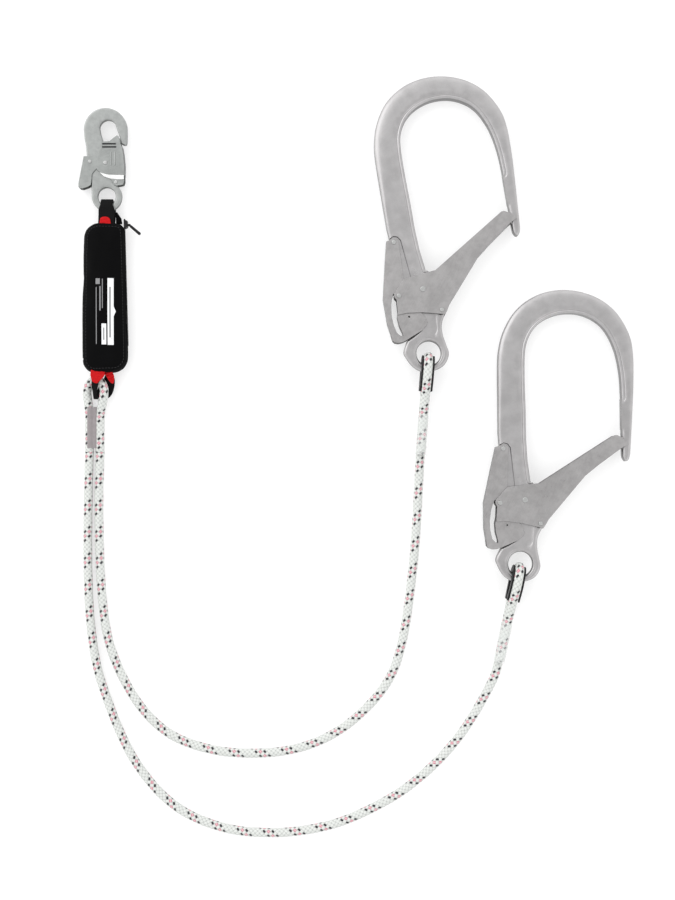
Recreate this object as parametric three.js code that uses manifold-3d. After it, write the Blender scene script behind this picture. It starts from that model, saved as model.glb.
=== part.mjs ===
// Twin-leg shock absorbing lanyard: a sewn absorber pack with a double-action snap hook at one end,
// and a doubled kernmantle rope whose two legs end in large scaffold hooks.
// Millimetres, +Z up. The lanyard lies on the plane Z = 0, snap hook at -X +Y, legs running down and across.
import * as THREE from "three";
import { mergeVertices } from "three/addons/utils/BufferGeometryUtils.js";
import Module from "manifold-3d";

const wasm = await Module();
wasm.setup();

// ---------------------------------------------------------------- driving dimensions
const GAP = 0.3; // running clearance between neighbouring pieces
const ROPE_R = 5.5; // 11 mm kernmantle rope
const ROPE_Z = 5.7; // centre height of a rope lying on the floor
const EYE_Z = 20.7; // mid height of a rope eye, and so of the ring inside it
const EYE_R = 15; // rope centreline radius at the nose of an eye
const HOOK_TILT = 2.1; // degrees: the ring is held up by the rope eye, the arch rests on the floor

const HOOK_HALF = 8; // half thickness of the forged hook at the spine and arch
const NECK_HALF = 6; // half thickness of the neck, the ring and the lever recess
const HOOK_BEVEL = 2.4;
const LEVER_IN = 6.3; // inner faces of the lever cheeks, from the hook's mid plane
const LEVER_OUT = 7.8;
const CHEEK_IN = 8.3; // inner faces of the gate cheeks
const CHEEK_OUT = 9.9;
const SHEET = 1.7; // folded edge of a gate or lever

const RING_HOLE_R = 15;
const LEVER_PIVOT = [-20.8, 142.2];
const GATE_PIVOT = [5.4, 79.0];
const LOCK_PIN = [-25.2, 75.3];
const STOP_PIN = [24.4, 50.0];
const PIN_R = 2.0;
const GATE_PIN_R = 2.5;

const SNAP_Z = 8.6; // mid height of the snap hook
const SNAP_HALF = 4.5;
const SNAP_LEVER_IN = 4.8;
const SNAP_LEVER_OUT = 6.0;
const SNAP_CHEEK_IN = 6.3;
const SNAP_CHEEK_OUT = 7.5;
const SNAP_HOLE_R = 11.1;
const SNAP_GATE_PIVOT = [-1.2, 41.2];
const SNAP_LEVER_PIVOT = [-20.5, 43.0];
const SNAP_STOP_PIN = [11.7, 17.4];

const POUCH_THICK = 30;
const POUCH_EDGE = 18; // thickness of the pouch's side wall
const POUCH_ROUND = 7; // how far the rounded edge reaches in from the outline
const CLOTH = 1.5; // wall of the pouch
const MID_Z = POUCH_THICK / 2;

// Where the sub-assemblies stand: [x, y], with the turn about Z in degrees.
const HOOKS = [
  { name: "hook_1", ring: [89.3, 16.6], turn: 9.05, ropeTurn: -94.3 },
  { name: "hook_2", ring: [202.4, -243.1], turn: 0, ropeTurn: -101.5 },
];
const EYE_DROP = 3.5; // the rope's nose stands this far below the middle of the ring
const SNAP_RING = [-309.6, 212.3];
const SNAP_DROP = 4.4;

// Centreline of the rope's legs on the floor, from the seizing to the splice of each hook.
const LEG_1 = [
  [-319, -105, 5.7], [-320.4, -152, 5.7], [-320.2, -202, 5.7], [-318.4, -258, 5.7],
  [-314.7, -302, 5.7], [-308.5, -339, 5.7], [-294.8, -377, 5.7], [-274.2, -414, 5.7],
  [-255.5, -437, 5.7], [-236.8, -453, 5.7], [-219.4, -463, 5.7], [-194.4, -472, 5.7],
  [-169.5, -477.6, 5.7], [-144.6, -480, 5.7], [-119.7, -480.2, 5.7], [-94.8, -478.2, 5.7],
  [-69.8, -473.2, 5.7], [-44.9, -464.5, 5.7], [-20, -451, 5.7], [4.9, -431.5, 5.7],
  [29.9, -404.7, 5.7], [46.7, -376.7, 5.7], [57.9, -339.3, 5.7], [64.4, -301.9, 5.7],
  [69.1, -264.5, 5.7], [73, -227, 5.7], [76.2, -180, 5.8], [78, -145, 6.3],
  [79.2, -122, 6.6], [79.9, -108.4, 6.7],
];
const LEG_2 = [
  [-332.3, -105, 5.7], [-333.6, -152, 5.7], [-334.3, -208, 5.7], [-334, -258, 5.7],
  [-332.2, -302, 5.7], [-328.4, -339, 5.7], [-321.6, -377, 5.7], [-309.7, -414, 5.7],
  [-295.4, -451, 5.7], [-276.1, -489, 5.7], [-246.8, -527, 5.7], [-219.4, -550, 5.7],
  [-194.4, -563, 5.7], [-169.5, -571.7, 5.7], [-144.6, -577, 5.7], [-119.7, -579, 5.7],
  [-94.8, -579.2, 5.7], [-69.8, -577, 5.7], [-44.9, -572.7, 5.7], [-20, -566, 5.7],
  [4.9, -556, 5.7], [29.9, -543.6, 5.7], [54.8, -529, 5.7], [79.7, -510, 5.7],
  [104.6, -487, 5.7], [129.6, -457.7, 5.7], [148.2, -429.6, 5.9], [164.6, -400, 6.3],
  [172.8, -383, 6.6], [177.35, -366, 6.7],
];
// The bight between the legs, through the absorber's lower loop.
const BIGHT = [
  [-332.3, -104.7, 5.7], [-332.3, -78, 5.7], [-332.5, -58, 5.7], [-334, -42, 6.2],
  [-334.9, -30, 7.4], [-331.9, -20.8, 8.8], [-325, -16.3, 10.4], [-318, -17.3, 12.4],
  [-313.4, -24, 13.8], [-313, -34.5, 13.6], [-315.4, -45, 10], [-318, -55, 6.4],
  [-318.9, -66, 5.7], [-318.9, -80, 5.7], [-319, -104.7, 5.7],
];

// ---------------------------------------------------------------- finishes
const finish = (color, roughness, metalness) =>
  new THREE.MeshStandardMaterial({ color, roughness, metalness });
const FINISH = {
  forged: finish(0xb4b2b3, 0.42, 0.9),
  sheet: finish(0xa8a5a3, 0.38, 0.95),
  zinc: finish(0xaaaca6, 0.45, 0.9),
  rivet: finish(0x9c9a98, 0.35, 1),
  spring: finish(0x77777a, 0.35, 1),
  rope: finish(0xeceee9, 0.85, 0),
  plastic: finish(0x18181a, 0.5, 0),
  sleeve: finish(0xd9dcd9, 0.3, 0),
  thread: finish(0x8e8b8d, 0.9, 0),
  cloth: finish(0x161617, 0.9, 0),
  webbing: finish(0x121213, 0.85, 0),
  red: finish(0xc62f2f, 0.8, 0),
  label: finish(0xdedfdf, 0.6, 0),
};

// ---------------------------------------------------------------- solids
function solid(geometry) {
  const bare = geometry.index ? geometry.toNonIndexed() : geometry.clone();
  for (const name of Object.keys(bare.attributes)) {
    if (name !== "position") bare.deleteAttribute(name);
  }
  const merged = mergeVertices(bare, 1e-3);
  const build = (triVerts) =>
    new wasm.Manifold(
      new wasm.Mesh({ numProp: 3, vertProperties: merged.attributes.position.array, triVerts }),
    );
  const corners = new Uint32Array(merged.index.array);
  const made = build(corners);
  return made.volume() > 0 ? made : build(corners.slice().reverse());
}

function meshOf(name, body, material) {
  const { numProp, numVert, vertProperties, triVerts } = body.getMesh();
  const positions = new Float32Array(numVert * 3);
  for (let i = 0; i < numVert; i++) {
    positions.set(vertProperties.subarray(i * numProp, i * numProp + 3), i * 3);
  }
  const geometry = new THREE.BufferGeometry();
  geometry.setAttribute("position", new THREE.BufferAttribute(positions, 3));
  geometry.setIndex(new THREE.BufferAttribute(triVerts, 1));
  geometry.computeVertexNormals();
  const mesh = new THREE.Mesh(geometry, material);
  mesh.name = name;
  return mesh;
}

const join = (first, ...others) => others.reduce((sum, body) => sum.add(body), first);
const cut = (first, ...others) => others.reduce((sum, body) => sum.subtract(body), first);
const vectors = (points) => points.map(([x, y]) => new THREE.Vector2(x, y));
const smooth = (points, count) =>
  new THREE.SplineCurve(vectors(points)).getPoints(count).map((p) => [p.x, p.y]);

// A plate between two heights, its rim bevelled inwards.
function plate(points, low, high, bevel = 0, segments = 1, rise = bevel) {
  const geometry = new THREE.ExtrudeGeometry(new THREE.Shape(vectors(points)), {
    depth: high - low - 2 * rise,
    steps: 1,
    bevelEnabled: bevel > 0,
    bevelSize: bevel,
    bevelThickness: rise,
    bevelOffset: -bevel,
    bevelSegments: segments,
  });
  return solid(geometry.translate(0, 0, low + rise));
}

// The same plate on both sides of the mid plane.
const platePair = (points, inner, outer) => [
  plate(points, inner, outer),
  plate(points, -outer, -inner),
];

function cylinder([x, y], radius, low, high, sides = 20) {
  const geometry = new THREE.CylinderGeometry(radius, radius, high - low, sides);
  return solid(geometry.rotateX(Math.PI / 2).translate(x, y, (low + high) / 2));
}

function box([x0, y0, z0], [x1, y1, z1]) {
  const geometry = new THREE.BoxGeometry(x1 - x0, y1 - y0, z1 - z0);
  return solid(geometry.translate((x0 + x1) / 2, (y0 + y1) / 2, (z0 + z1) / 2));
}

// A rivet through plates whose outer faces stand at +-face.
function rivet([x, y], shaft, head, face) {
  const low = face + 0.15;
  const top = face + 0.9;
  const half = [
    [shaft, low], [head, low], [head, top - 0.35], [head * 0.72, top], [0, top],
  ];
  const profile = [...half.map(([r, z]) => [r, -z]).reverse(), ...half];
  const geometry = new THREE.LatheGeometry(vectors(profile), 16);
  return solid(geometry.rotateX(Math.PI / 2).translate(x, y, 0));
}

// A closed coil of round wire round a pin, its axis along Z.
class Coil extends THREE.Curve {
  constructor([x, y], radius, low, high, turns) {
    super();
    Object.assign(this, { x, y, radius, low, high, turns });
  }
  getPoint(t, target = new THREE.Vector3()) {
    const angle = 2 * Math.PI * this.turns * t;
    return target.set(
      this.x + this.radius * Math.cos(angle),
      this.y + this.radius * Math.sin(angle),
      this.low + (this.high - this.low) * t,
    );
  }
}

const ring = (radius, sides) =>
  Array.from({ length: sides }, (_, i) => {
    const angle = (2 * Math.PI * (i + 0.5)) / sides;
    return [radius * Math.cos(angle), radius * Math.sin(angle)];
  });

function sweep(section, curve, steps) {
  const shape = new THREE.Shape(vectors(section));
  return solid(
    new THREE.ExtrudeGeometry(shape, { extrudePath: curve, steps, bevelEnabled: false }),
  );
}

const through = (points) =>
  new THREE.CatmullRomCurve3(points.map((p) => new THREE.Vector3(...p)), false, "centripetal");
const tube = (points, radius, sides, steps) => sweep(ring(radius, sides), through(points), steps);
const coil = (at, radius, wire, low, high, turns) =>
  sweep(ring(wire, 6), new Coil(at, radius, low, high, turns), Math.round(turns * 10));

// ---------------------------------------------------------------- scaffold hook outlines
const ARCH_OUTSIDE = smooth(
  [
    [139, 183], [141, 225], [140.6, 262], [135, 287], [118, 314], [92, 332], [58, 339.5],
    [25, 334], [-2, 316.5], [-19, 290], [-26.3, 262], [-27.4, 232],
  ],
  34,
);
const ARCH_INSIDE = smooth(
  [
    [7.2, 190], [6.2, 224], [6.4, 256], [9.5, 275], [18.5, 291.5], [33, 303], [52, 309.3],
    [73, 309], [92, 301.5], [106.5, 288], [118, 264], [124, 235], [125.8, 205],
  ],
  30,
);
const NOSE = [[126, 165], [126.4, 137], [127.4, 130.5], [130.8, 126.6], [134.6, 129.6], [136.3, 137]];
const SPINE_LEFT = [[-26.8, 160], [-25.8, 147], [-25.3, 133], [-21.5, 127], [-20.6, 104]];
const NECK_LEFT = [
  [-21, 89], [-21.1, 76], [-18.8, 68], [-14.5, 60.6], [-11.5, 57], [-9.5, 48], [-8.1, 37.5],
  [-6.6, 29.5], [-15.7, 23.4], [-23.9, 19.6],
];
const RING_RIM = [
  [-30.2, 6.8], [-28.6, -1], [-22.8, -12], [-16.2, -18.4], [-10, -21.2], [-3.5, -22], [4, -21.8],
  [10.5, -20.4], [17, -17], [22, -11], [24.8, -3],
];
const NECK_RIGHT = [
  [23.2, 7], [21.2, 18], [21, 28.5], [23, 36], [26.6, 43], [27, 46.8], [22.6, 47.4],
  [22, 48.2], [21.6, 52], [24.5, 62], [28.3, 74], [27.8, 86], [22.4, 95.5],
];
const SPINE_RIGHT = [[12.5, 102], [9.1, 128.6], [7.6, 154]];
const HOOK_OUTLINE = [
  ...ARCH_OUTSIDE, ...SPINE_LEFT, ...NECK_LEFT, ...RING_RIM, ...NECK_RIGHT, ...SPINE_RIGHT,
  ...ARCH_INSIDE, ...NOSE,
];
// Where the hook is thinned for the lever to lie and swing in.
const RECESS = [
  [-60, 147], [-25, 147], [-20.5, 149.4], [-15.5, 148], [-12.2, 143.4], [-6.4, 91.5], [70, 91.5],
  [70, -60], [-60, -60],
];

const GATE_EDGE = [[34.5, 54.9], [56.5, 80.9], [79.9, 108.6], [96.7, 122.2], [119.5, 139]];
const GATE_OUTLINE = [
  [-30, 52], [-18.7, 52.7], [1.1, 50.3], [22.9, 45], [27.4, 43.4], [31.2, 49], ...GATE_EDGE,
  [126.5, 143.8], [133.8, 147.3], [132, 150.6], [126.6, 155], [119.7, 158.9], [115.9, 158.5],
  [24, 99.6], [13.1, 98.6], [-16.1, 95.1], [-24.4, 86.2], [-29, 80.8], [-31.2, 77.2],
  [-31, 73.6], [-29, 71],
];
// The open inside of the gate: it is folded only along its lower right edge.
const GATE_INSIDE = [
  [31.2, 55.5], [54.6, 82.2], [78.5, 110.4], [95.7, 124.3], [121, 142.3], [150, 140], [150, 190],
  [-60, 190], [-60, 30], [31, 30],
];

const LEVER_EDGE = [[-42.6, 30], [-44.8, 44], [-45.1, 75.2], [-35.4, 120.7], [-31, 140]];
const LEVER_OUTLINE = [
  ...LEVER_EDGE, [-30, 144.5], [-24, 146.4], [-17.5, 146.6], [-14.6, 144.2], [-16.1, 95.1],
  [-16.4, 83], [-17, 73], [-15.8, 64.8], [-8.9, 57.7], [0.8, 49], [4.9, 38.9], [3, 34.5],
  [-3.6, 28.9], [-23.9, 20.1], [-29.5, 18.2], [-35.2, 17.9], [-39.3, 19.3], [-41.6, 22],
];
const LEVER_INSIDE = [
  [-41.1, 29], [-43.1, 44], [-43.4, 75], [-33.7, 120.4], [-29, 141], [-29, 190], [40, 190],
  [40, 0], [-60, 0], [-60, 29],
];
// The curved slot that the lock pin travels in, with its pocket at the top.
const LEVER_SLOT = [
  [-31.5, 78.6], [-25.2, 78.4], [-22.6, 76], [-22.8, 73], [-25.5, 68.2], [-27.9, 62.6],
  [-29.8, 57.2], [-31.4, 49.7], [-30.6, 39], [-28, 29.5], [-27.6, 26], [-30.6, 26.2],
  [-34.8, 30.8], [-37.2, 41], [-37.9, 52.4], [-36.3, 65.5], [-34, 73.5],
];
const SPRING_HOLE = [-16.8, 47.8];

// The eye of the hook, its edges eased for the rope.
function ringHole() {
  const half = [[RING_HOLE_R, 3.2], [RING_HOLE_R + 2.6, NECK_HALF + 0.2], [RING_HOLE_R + 2.6, 20]];
  const profile = [[0, -20], ...half.map(([r, z]) => [r, -z]).reverse(), ...half, [0, 20]];
  return solid(new THREE.LatheGeometry(vectors(profile), 40).rotateX(Math.PI / 2));
}

function hookBody() {
  const forging = plate(HOOK_OUTLINE, -HOOK_HALF, HOOK_HALF, HOOK_BEVEL, 2);
  const recesses = platePair(RECESS, NECK_HALF, HOOK_HALF + 4);
  const boss = cylinder(GATE_PIVOT, 9, -HOOK_HALF, HOOK_HALF);
  const body = join(cut(forging, ...recesses), boss);
  return cut(
    body,
    ringHole(),
    cylinder(LEVER_PIVOT, PIN_R + GAP, -20, 20),
    cylinder(GATE_PIVOT, GATE_PIN_R + GAP, -20, 20),
    cylinder(LEVER_PIVOT, 4.1, -NECK_HALF - 1, -1.5),
    cylinder(GATE_PIVOT, 7.2, -HOOK_HALF - 1, -2.5),
  );
}

function hookGate() {
  const folded = cut(
    plate(GATE_OUTLINE, -CHEEK_OUT, CHEEK_OUT),
    plate(GATE_INSIDE, -CHEEK_IN, CHEEK_IN),
  );
  const holes = [LOCK_PIN, STOP_PIN].map((at) => cylinder(at, PIN_R + GAP, -20, 20, 16));
  return cut(folded, ...holes, cylinder(GATE_PIVOT, GATE_PIN_R + GAP, -20, 20, 16));
}

function hookLever() {
  const folded = cut(
    plate(LEVER_OUTLINE, -LEVER_OUT, LEVER_OUT),
    plate(LEVER_INSIDE, -LEVER_IN, LEVER_IN),
  );
  return cut(
    folded,
    plate(LEVER_SLOT, -20, 20),
    cylinder(LEVER_PIVOT, PIN_R + GAP, -20, 20, 16),
    cylinder(SPRING_HOLE, 1.3, -20, 20, 10),
  );
}

function scaffoldHook({ name, ring: at, turn }) {
  const group = new THREE.Group();
  group.position.set(at[0], at[1], EYE_Z);
  group.rotation.set(
    THREE.MathUtils.degToRad(-HOOK_TILT), 0, THREE.MathUtils.degToRad(turn), "ZYX",
  );
  group.add(
    meshOf(`${name}_body`, hookBody(), FINISH.forged),
    meshOf(`${name}_gate`, hookGate(), FINISH.sheet),
    meshOf(`${name}_lock_lever`, hookLever(), FINISH.sheet),
    meshOf(`${name}_lever_pivot_rivet`, rivet(LEVER_PIVOT, PIN_R, 3, LEVER_OUT), FINISH.rivet),
    meshOf(`${name}_gate_pivot_rivet`, rivet(GATE_PIVOT, GATE_PIN_R, 3.6, CHEEK_OUT), FINISH.rivet),
    meshOf(`${name}_lock_pin`, rivet(LOCK_PIN, PIN_R, 3, CHEEK_OUT), FINISH.rivet),
    meshOf(`${name}_stop_pin`, rivet(STOP_PIN, PIN_R, 2.8, CHEEK_OUT), FINISH.rivet),
    meshOf(`${name}_lever_spring`, coil(LEVER_PIVOT, 3.1, 0.5, -5.3, -2.2, 2.5), FINISH.spring),
    meshOf(`${name}_gate_spring`, coil(GATE_PIVOT, 5.1, 0.7, -7.1, -3.4, 2.5), FINISH.spring),
  );
  return group;
}

// ---------------------------------------------------------------- rope eye of a scaffold hook
// The eye stands on edge: local +X runs down the rope from the nose, heights are from the ring's mid plane.
const LOWER_STRAND = ROPE_Z + 1 - EYE_Z;
const UPPER_STRAND = LOWER_STRAND + 2 * ROPE_R + 0.3;
const SPLICE_START = 73;
const SPLICE_END = 121.5;
const nosePoint = (degrees) => {
  const angle = THREE.MathUtils.degToRad(degrees);
  return [EYE_R - EYE_R * Math.sin(angle), 0, EYE_R * Math.cos(angle)];
};
const NOSE_TURN = [0, 30, 60, 90, 120, 150, 180].map(nosePoint);
const EYE_ROUTE = [
  [SPLICE_END - 3, 0, UPPER_STRAND], [92, 0, UPPER_STRAND], [73, 0, UPPER_STRAND],
  [66, 0, UPPER_STRAND + 0.7], [57, 0, 1.2], [46, 0, 5.4], [35, 0, 10.8], [25, 0, 14.6], ...NOSE_TURN, [30, 0, -EYE_R],
  [50, 0, -EYE_R + 0.4], [68, 0, LOWER_STRAND], [92, 0, LOWER_STRAND], [SPLICE_END, 0, LOWER_STRAND],
];
const THIMBLE_ROUTE = [
  [43, 0, 6.8], [35, 0, 10.8], [25, 0, 14.6], ...NOSE_TURN, [30, 0, -EYE_R], [43, 0, -EYE_R + 0.2],
];
// Channel section: first number across the rope, second outwards from its centre.
const THIMBLE_SECTION = [
  [-7.3, -7.5], [7.3, -7.5], [7.3, 0.6], [5.85, 0.6], [5.85, -5.8], [-5.85, -5.8], [-5.85, 0.6],
  [-7.3, 0.6],
];

function stadium(radius, low, high, sides = 8) {
  const arc = (z, from) =>
    Array.from({ length: sides + 1 }, (_, i) => {
      const angle = from + (Math.PI * i) / sides;
      return [radius * Math.cos(angle), z + radius * Math.sin(angle)];
    });
  return [...arc(high, 0), ...arc(low, Math.PI)];
}

function spliceSleeve() {
  const length = SPLICE_END - SPLICE_START;
  const shape = new THREE.Shape(vectors(stadium(6.6, LOWER_STRAND, UPPER_STRAND)));
  shape.holes.push(new THREE.Path(vectors(stadium(5.8, LOWER_STRAND, UPPER_STRAND))));
  const geometry = new THREE.ExtrudeGeometry(shape, { depth: length, bevelEnabled: false });
  // The outline's first axis becomes Y, its second Z, and the extrusion runs along X.
  const turned = new THREE.Matrix4().makeBasis(
    new THREE.Vector3(0, 1, 0), new THREE.Vector3(0, 0, 1), new THREE.Vector3(1, 0, 0),
  );
  return solid(geometry.applyMatrix4(turned).translate(SPLICE_START, 0, 0));
}

function ropeEye({ name, ring: at, ropeTurn }) {
  const angle = THREE.MathUtils.degToRad(ropeTurn);
  const group = new THREE.Group();
  group.position.set(
    at[0] + EYE_DROP * Math.cos(angle), at[1] + EYE_DROP * Math.sin(angle), EYE_Z,
  );
  group.rotation.z = angle;
  group.add(
    meshOf(`${name}_rope_eye`, tube(EYE_ROUTE, ROPE_R, 10, 38), FINISH.rope),
    meshOf(`${name}_thimble`, sweep(THIMBLE_SECTION, through(THIMBLE_ROUTE), 22), FINISH.plastic),
    meshOf(`${name}_splice_sleeve`, spliceSleeve(), FINISH.sleeve),
  );
  return group;
}

// ---------------------------------------------------------------- snap hook
const arcPoints = ([x, y], radius, from, to, count) =>
  Array.from({ length: count + 1 }, (_, i) => {
    const angle = THREE.MathUtils.degToRad(from + ((to - from) * i) / count);
    return [x + radius * Math.cos(angle), y + radius * Math.sin(angle)];
  });
const SNAP_RING_R = 18.6;
const SNAP_OUTLINE = [
  [18.2, 65.6], [21.5, 63.9], [24.6, 65.4], [25.1, 75],
  ...arcPoints([-1.7, 83.2], 26.8, 0, 180, 20),
  [-27.6, 72], [-25.6, 62], [-24.6, 50], [-25.2, 45], [-24.6, 39], [-21.5, 33], [-19.5, 25],
  [-18.9, 12], ...arcPoints([0, 0], SNAP_RING_R, 180, 424, 24),
  [7.4, 22], [9.5, 32], [9, 44], [5.5, 53], [-1, 60], [-4.6, 68.4], [-7.4, 77],
  ...arcPoints([1.6, 84.6], 10.4, 180, 30, 8), [14.2, 79], [16.8, 72],
];
const SNAP_GATE_OUTLINE = [
  [-12.1, 33.1], [-8, 29.4], [2, 26.6], [12, 26.2], [22, 26.2], [22.2, 38.2], [21, 51.6],
  [19.4, 61], [17.6, 64.4], [17, 68], [15.2, 73.8], [13.4, 75.2], [11, 73.8], [4.2, 68.2],
  [-6.4, 66.8], [-6.6, 60.6], [-10.9, 50],
];
const SNAP_GATE_EDGE_INSIDE = [
  [20.7, 10], [20.9, 38], [19.8, 51.3], [18.2, 60.4], [18.2, 90], [-40, 90], [-40, 10],
];
const SNAP_TAB = [
  [3, 25], [6.6, 19], [8.6, 14.6], [12, 12.9], [16, 13.4], [20.6, 14.4], [22, 18], [22, 29],
  [0, 29],
];
const SNAP_LEVER_OUTLINE = [
  [-34.8, 11.6], [-33.4, 9.8], [-29.7, 9.4], [-23.6, 11.4], [-19.4, 13.8], [-18.6, 19.3],
  [-18, 27], [-15.8, 30.4], [-12.8, 33.4], [-10.8, 37], [-10.8, 49.6], [-28.4, 49.6],
  [-34.8, 16.2],
];
const SNAP_LEVER_INSIDE = [
  [-33.4, 8], [-33.4, 16], [-27.1, 50.8], [-27.1, 60], [0, 60], [0, 8],
];

function snapBody() {
  return cut(
    plate(SNAP_OUTLINE, -SNAP_HALF, SNAP_HALF, 1.2, 2),
    cylinder([0, 0], SNAP_HOLE_R, -20, 20, 32),
    cylinder(SNAP_GATE_PIVOT, 1.8 + GAP, -20, 20, 16),
    cylinder(SNAP_LEVER_PIVOT, 1.5 + GAP, -20, 20, 16),
    cylinder(SNAP_GATE_PIVOT, 4.9, -20, -0.8, 20),
    cylinder(SNAP_LEVER_PIVOT, 3.4, -20, -0.8, 20),
  );
}

function snapGate() {
  const upper = cut(
    plate(SNAP_GATE_OUTLINE, -SNAP_CHEEK_OUT, SNAP_CHEEK_OUT),
    plate(SNAP_GATE_EDGE_INSIDE, -SNAP_CHEEK_IN, SNAP_CHEEK_IN),
  );
  // Below the step the cheeks run closer to the body and carry the stop pin.
  const tabs = platePair(SNAP_TAB, SNAP_LEVER_IN, SNAP_LEVER_OUT);
  const steps = [1, -1].map((side) => {
    const z = [side * SNAP_LEVER_IN, side * SNAP_CHEEK_OUT].sort((a, b) => a - b);
    return box([1, 26.4, z[0]], [21.8, 29, z[1]]);
  });
  const ribs = [5.6, 10.6].flatMap((x) => [
    box([x - 0.8, 37.8, SNAP_CHEEK_OUT - 0.4], [x + 0.8, 54.6, SNAP_CHEEK_OUT + 0.6]),
    box([x - 0.8, 37.8, -SNAP_CHEEK_OUT - 0.6], [x + 0.8, 54.6, 0.4 - SNAP_CHEEK_OUT]),
  ]);
  const slots = [59.8, 63.7].map((y) => box([-5.2, y, -20], [12.4, y + 1.7, 20]));
  return cut(
    join(upper, ...tabs, ...steps, ...ribs),
    ...slots,
    cylinder(SNAP_GATE_PIVOT, 1.8 + GAP, -20, 20, 16),
    cylinder(SNAP_STOP_PIN, 1.5 + GAP, -20, 20, 16),
  );
}

function snapLever() {
  return cut(
    plate(SNAP_LEVER_OUTLINE, -SNAP_LEVER_OUT, SNAP_LEVER_OUT),
    plate(SNAP_LEVER_INSIDE, -SNAP_LEVER_IN, SNAP_LEVER_IN),
    cylinder(SNAP_LEVER_PIVOT, 1.5 + GAP, -20, 20, 16),
  );
}

function snapHook() {
  const group = new THREE.Group();
  group.position.set(SNAP_RING[0], SNAP_RING[1], SNAP_Z);
  const { zinc, rivet: steel, spring } = FINISH;
  group.add(
    meshOf("snap_body", snapBody(), zinc),
    meshOf("snap_gate", snapGate(), zinc),
    meshOf("snap_lock_lever", snapLever(), zinc),
    meshOf("snap_gate_rivet", rivet(SNAP_GATE_PIVOT, 1.8, 2.5, SNAP_CHEEK_OUT), steel),
    meshOf("snap_lever_rivet", rivet(SNAP_LEVER_PIVOT, 1.5, 2.3, SNAP_LEVER_OUT), steel),
    meshOf("snap_stop_pin", rivet(SNAP_STOP_PIN, 1.5, 2.3, SNAP_LEVER_OUT), steel),
    meshOf("snap_gate_spring", coil(SNAP_GATE_PIVOT, 3.4, 0.5, -3.8, -1.6, 2), spring),
    meshOf("snap_lever_spring", coil(SNAP_LEVER_PIVOT, 2.45, 0.4, -3.8, -1.6, 2), spring),
  );
  return group;
}

// ---------------------------------------------------------------- absorber pack
const POUCH_OUTLINE = [
  ...arcPoints([-325.6, 4.6], 12.2, 180, 265, 4), ...arcPoints([-296, 5.6], 12, 275, 358, 4),
  [-283.8, 24], [-287.6, 160], ...arcPoints([-297, 168], 9.4, 0, 85, 3),
  ...arcPoints([-321.6, 163.2], 14.4, 95, 175, 5),
];
const inset = (points, by, [cx, cy]) =>
  points.map(([x, y]) => [x - Math.sign(x - cx) * by, y - Math.sign(y - cy) * by]);
const POUCH_MIDDLE = [-311.5, 85];
const ZIP_TOP = [-288.27, 184];
const ZIP_TURN = Math.atan2(3.8, 136);
const ZIP_LENGTH = 158;

// One half of the sewn sleeve, open at both ends for the webbing.
function pouchHalf(low, high) {
  const outer = plate(POUCH_OUTLINE, 0, POUCH_THICK, POUCH_ROUND, 3, (POUCH_THICK - POUCH_EDGE) / 2);
  const inner = plate(
    inset(POUCH_OUTLINE, CLOTH, POUCH_MIDDLE), CLOTH, POUCH_THICK - CLOTH, POUCH_ROUND, 3, 5,
  );
  const keep = box([-400, -60, low], [-200, 240, high]);
  return cut(
    outer,
    inner,
    box([-322, 160, 6.8], [-297, 200, 23.2]),
    box([-328, -40, 5.4], [-300, 10, 23.4]),
  ).intersect(keep);
}

const TOP_LOOP = [
  [60, 20.6], [44, 19.8], [30, 17.6], [18, 15.6], [6.5, 15.1], [1.9, 13.2], [0, 8.6], [1.9, 4],
  [6.5, 2.1], [13, 2.6], [22, 6.4], [32, 10], [44, 11.8], [60, 12.4],
];
const BOTTOM_LOOP = [
  [-317, 26, 20], [-319, 8, 19.6], [-321.6, -6, 19.8], [-322.8, -18, 20.2], [-323.4, -30, 18],
  [-323.6, -37.4, 12.4], [-323.4, -38, 6.4], [-322.2, -33.5, 3], [-318.4, -26, 2.6],
  [-312, -17.5, 3.6], [-307.6, -8, 8.8], [-306.6, 4, 10.8], [-306.6, 26, 11],
];
const ZIP_TAIL = [
  [-298, 178], [-298.4, 188], [-299.4, 192.4], [-296.8, 192.8], [-291.6, 185], [-290.4, 178],
];
const TOP_TAB = [
  [-317.6, 170], [-304.6, 170], [-304, 180], [-306, 186.4], [-311, 187.6], [-316, 185],
];
const WRAP_LEFT = [[-326.4, -13], [-321, -20], [-315.4, -17], [-312.6, -9], [-312.6, 6], [-326, 6]];
const WRAP_RIGHT = [
  [-310.6, -11], [-303.6, -18.8], [-300.9, -18], [-300.9, -8], [-301.6, 6], [-311, 6],
];
const rectangle = (a, b) => [[-a / 2, -b / 2], [a / 2, -b / 2], [a / 2, b / 2], [-a / 2, b / 2]];

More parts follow.
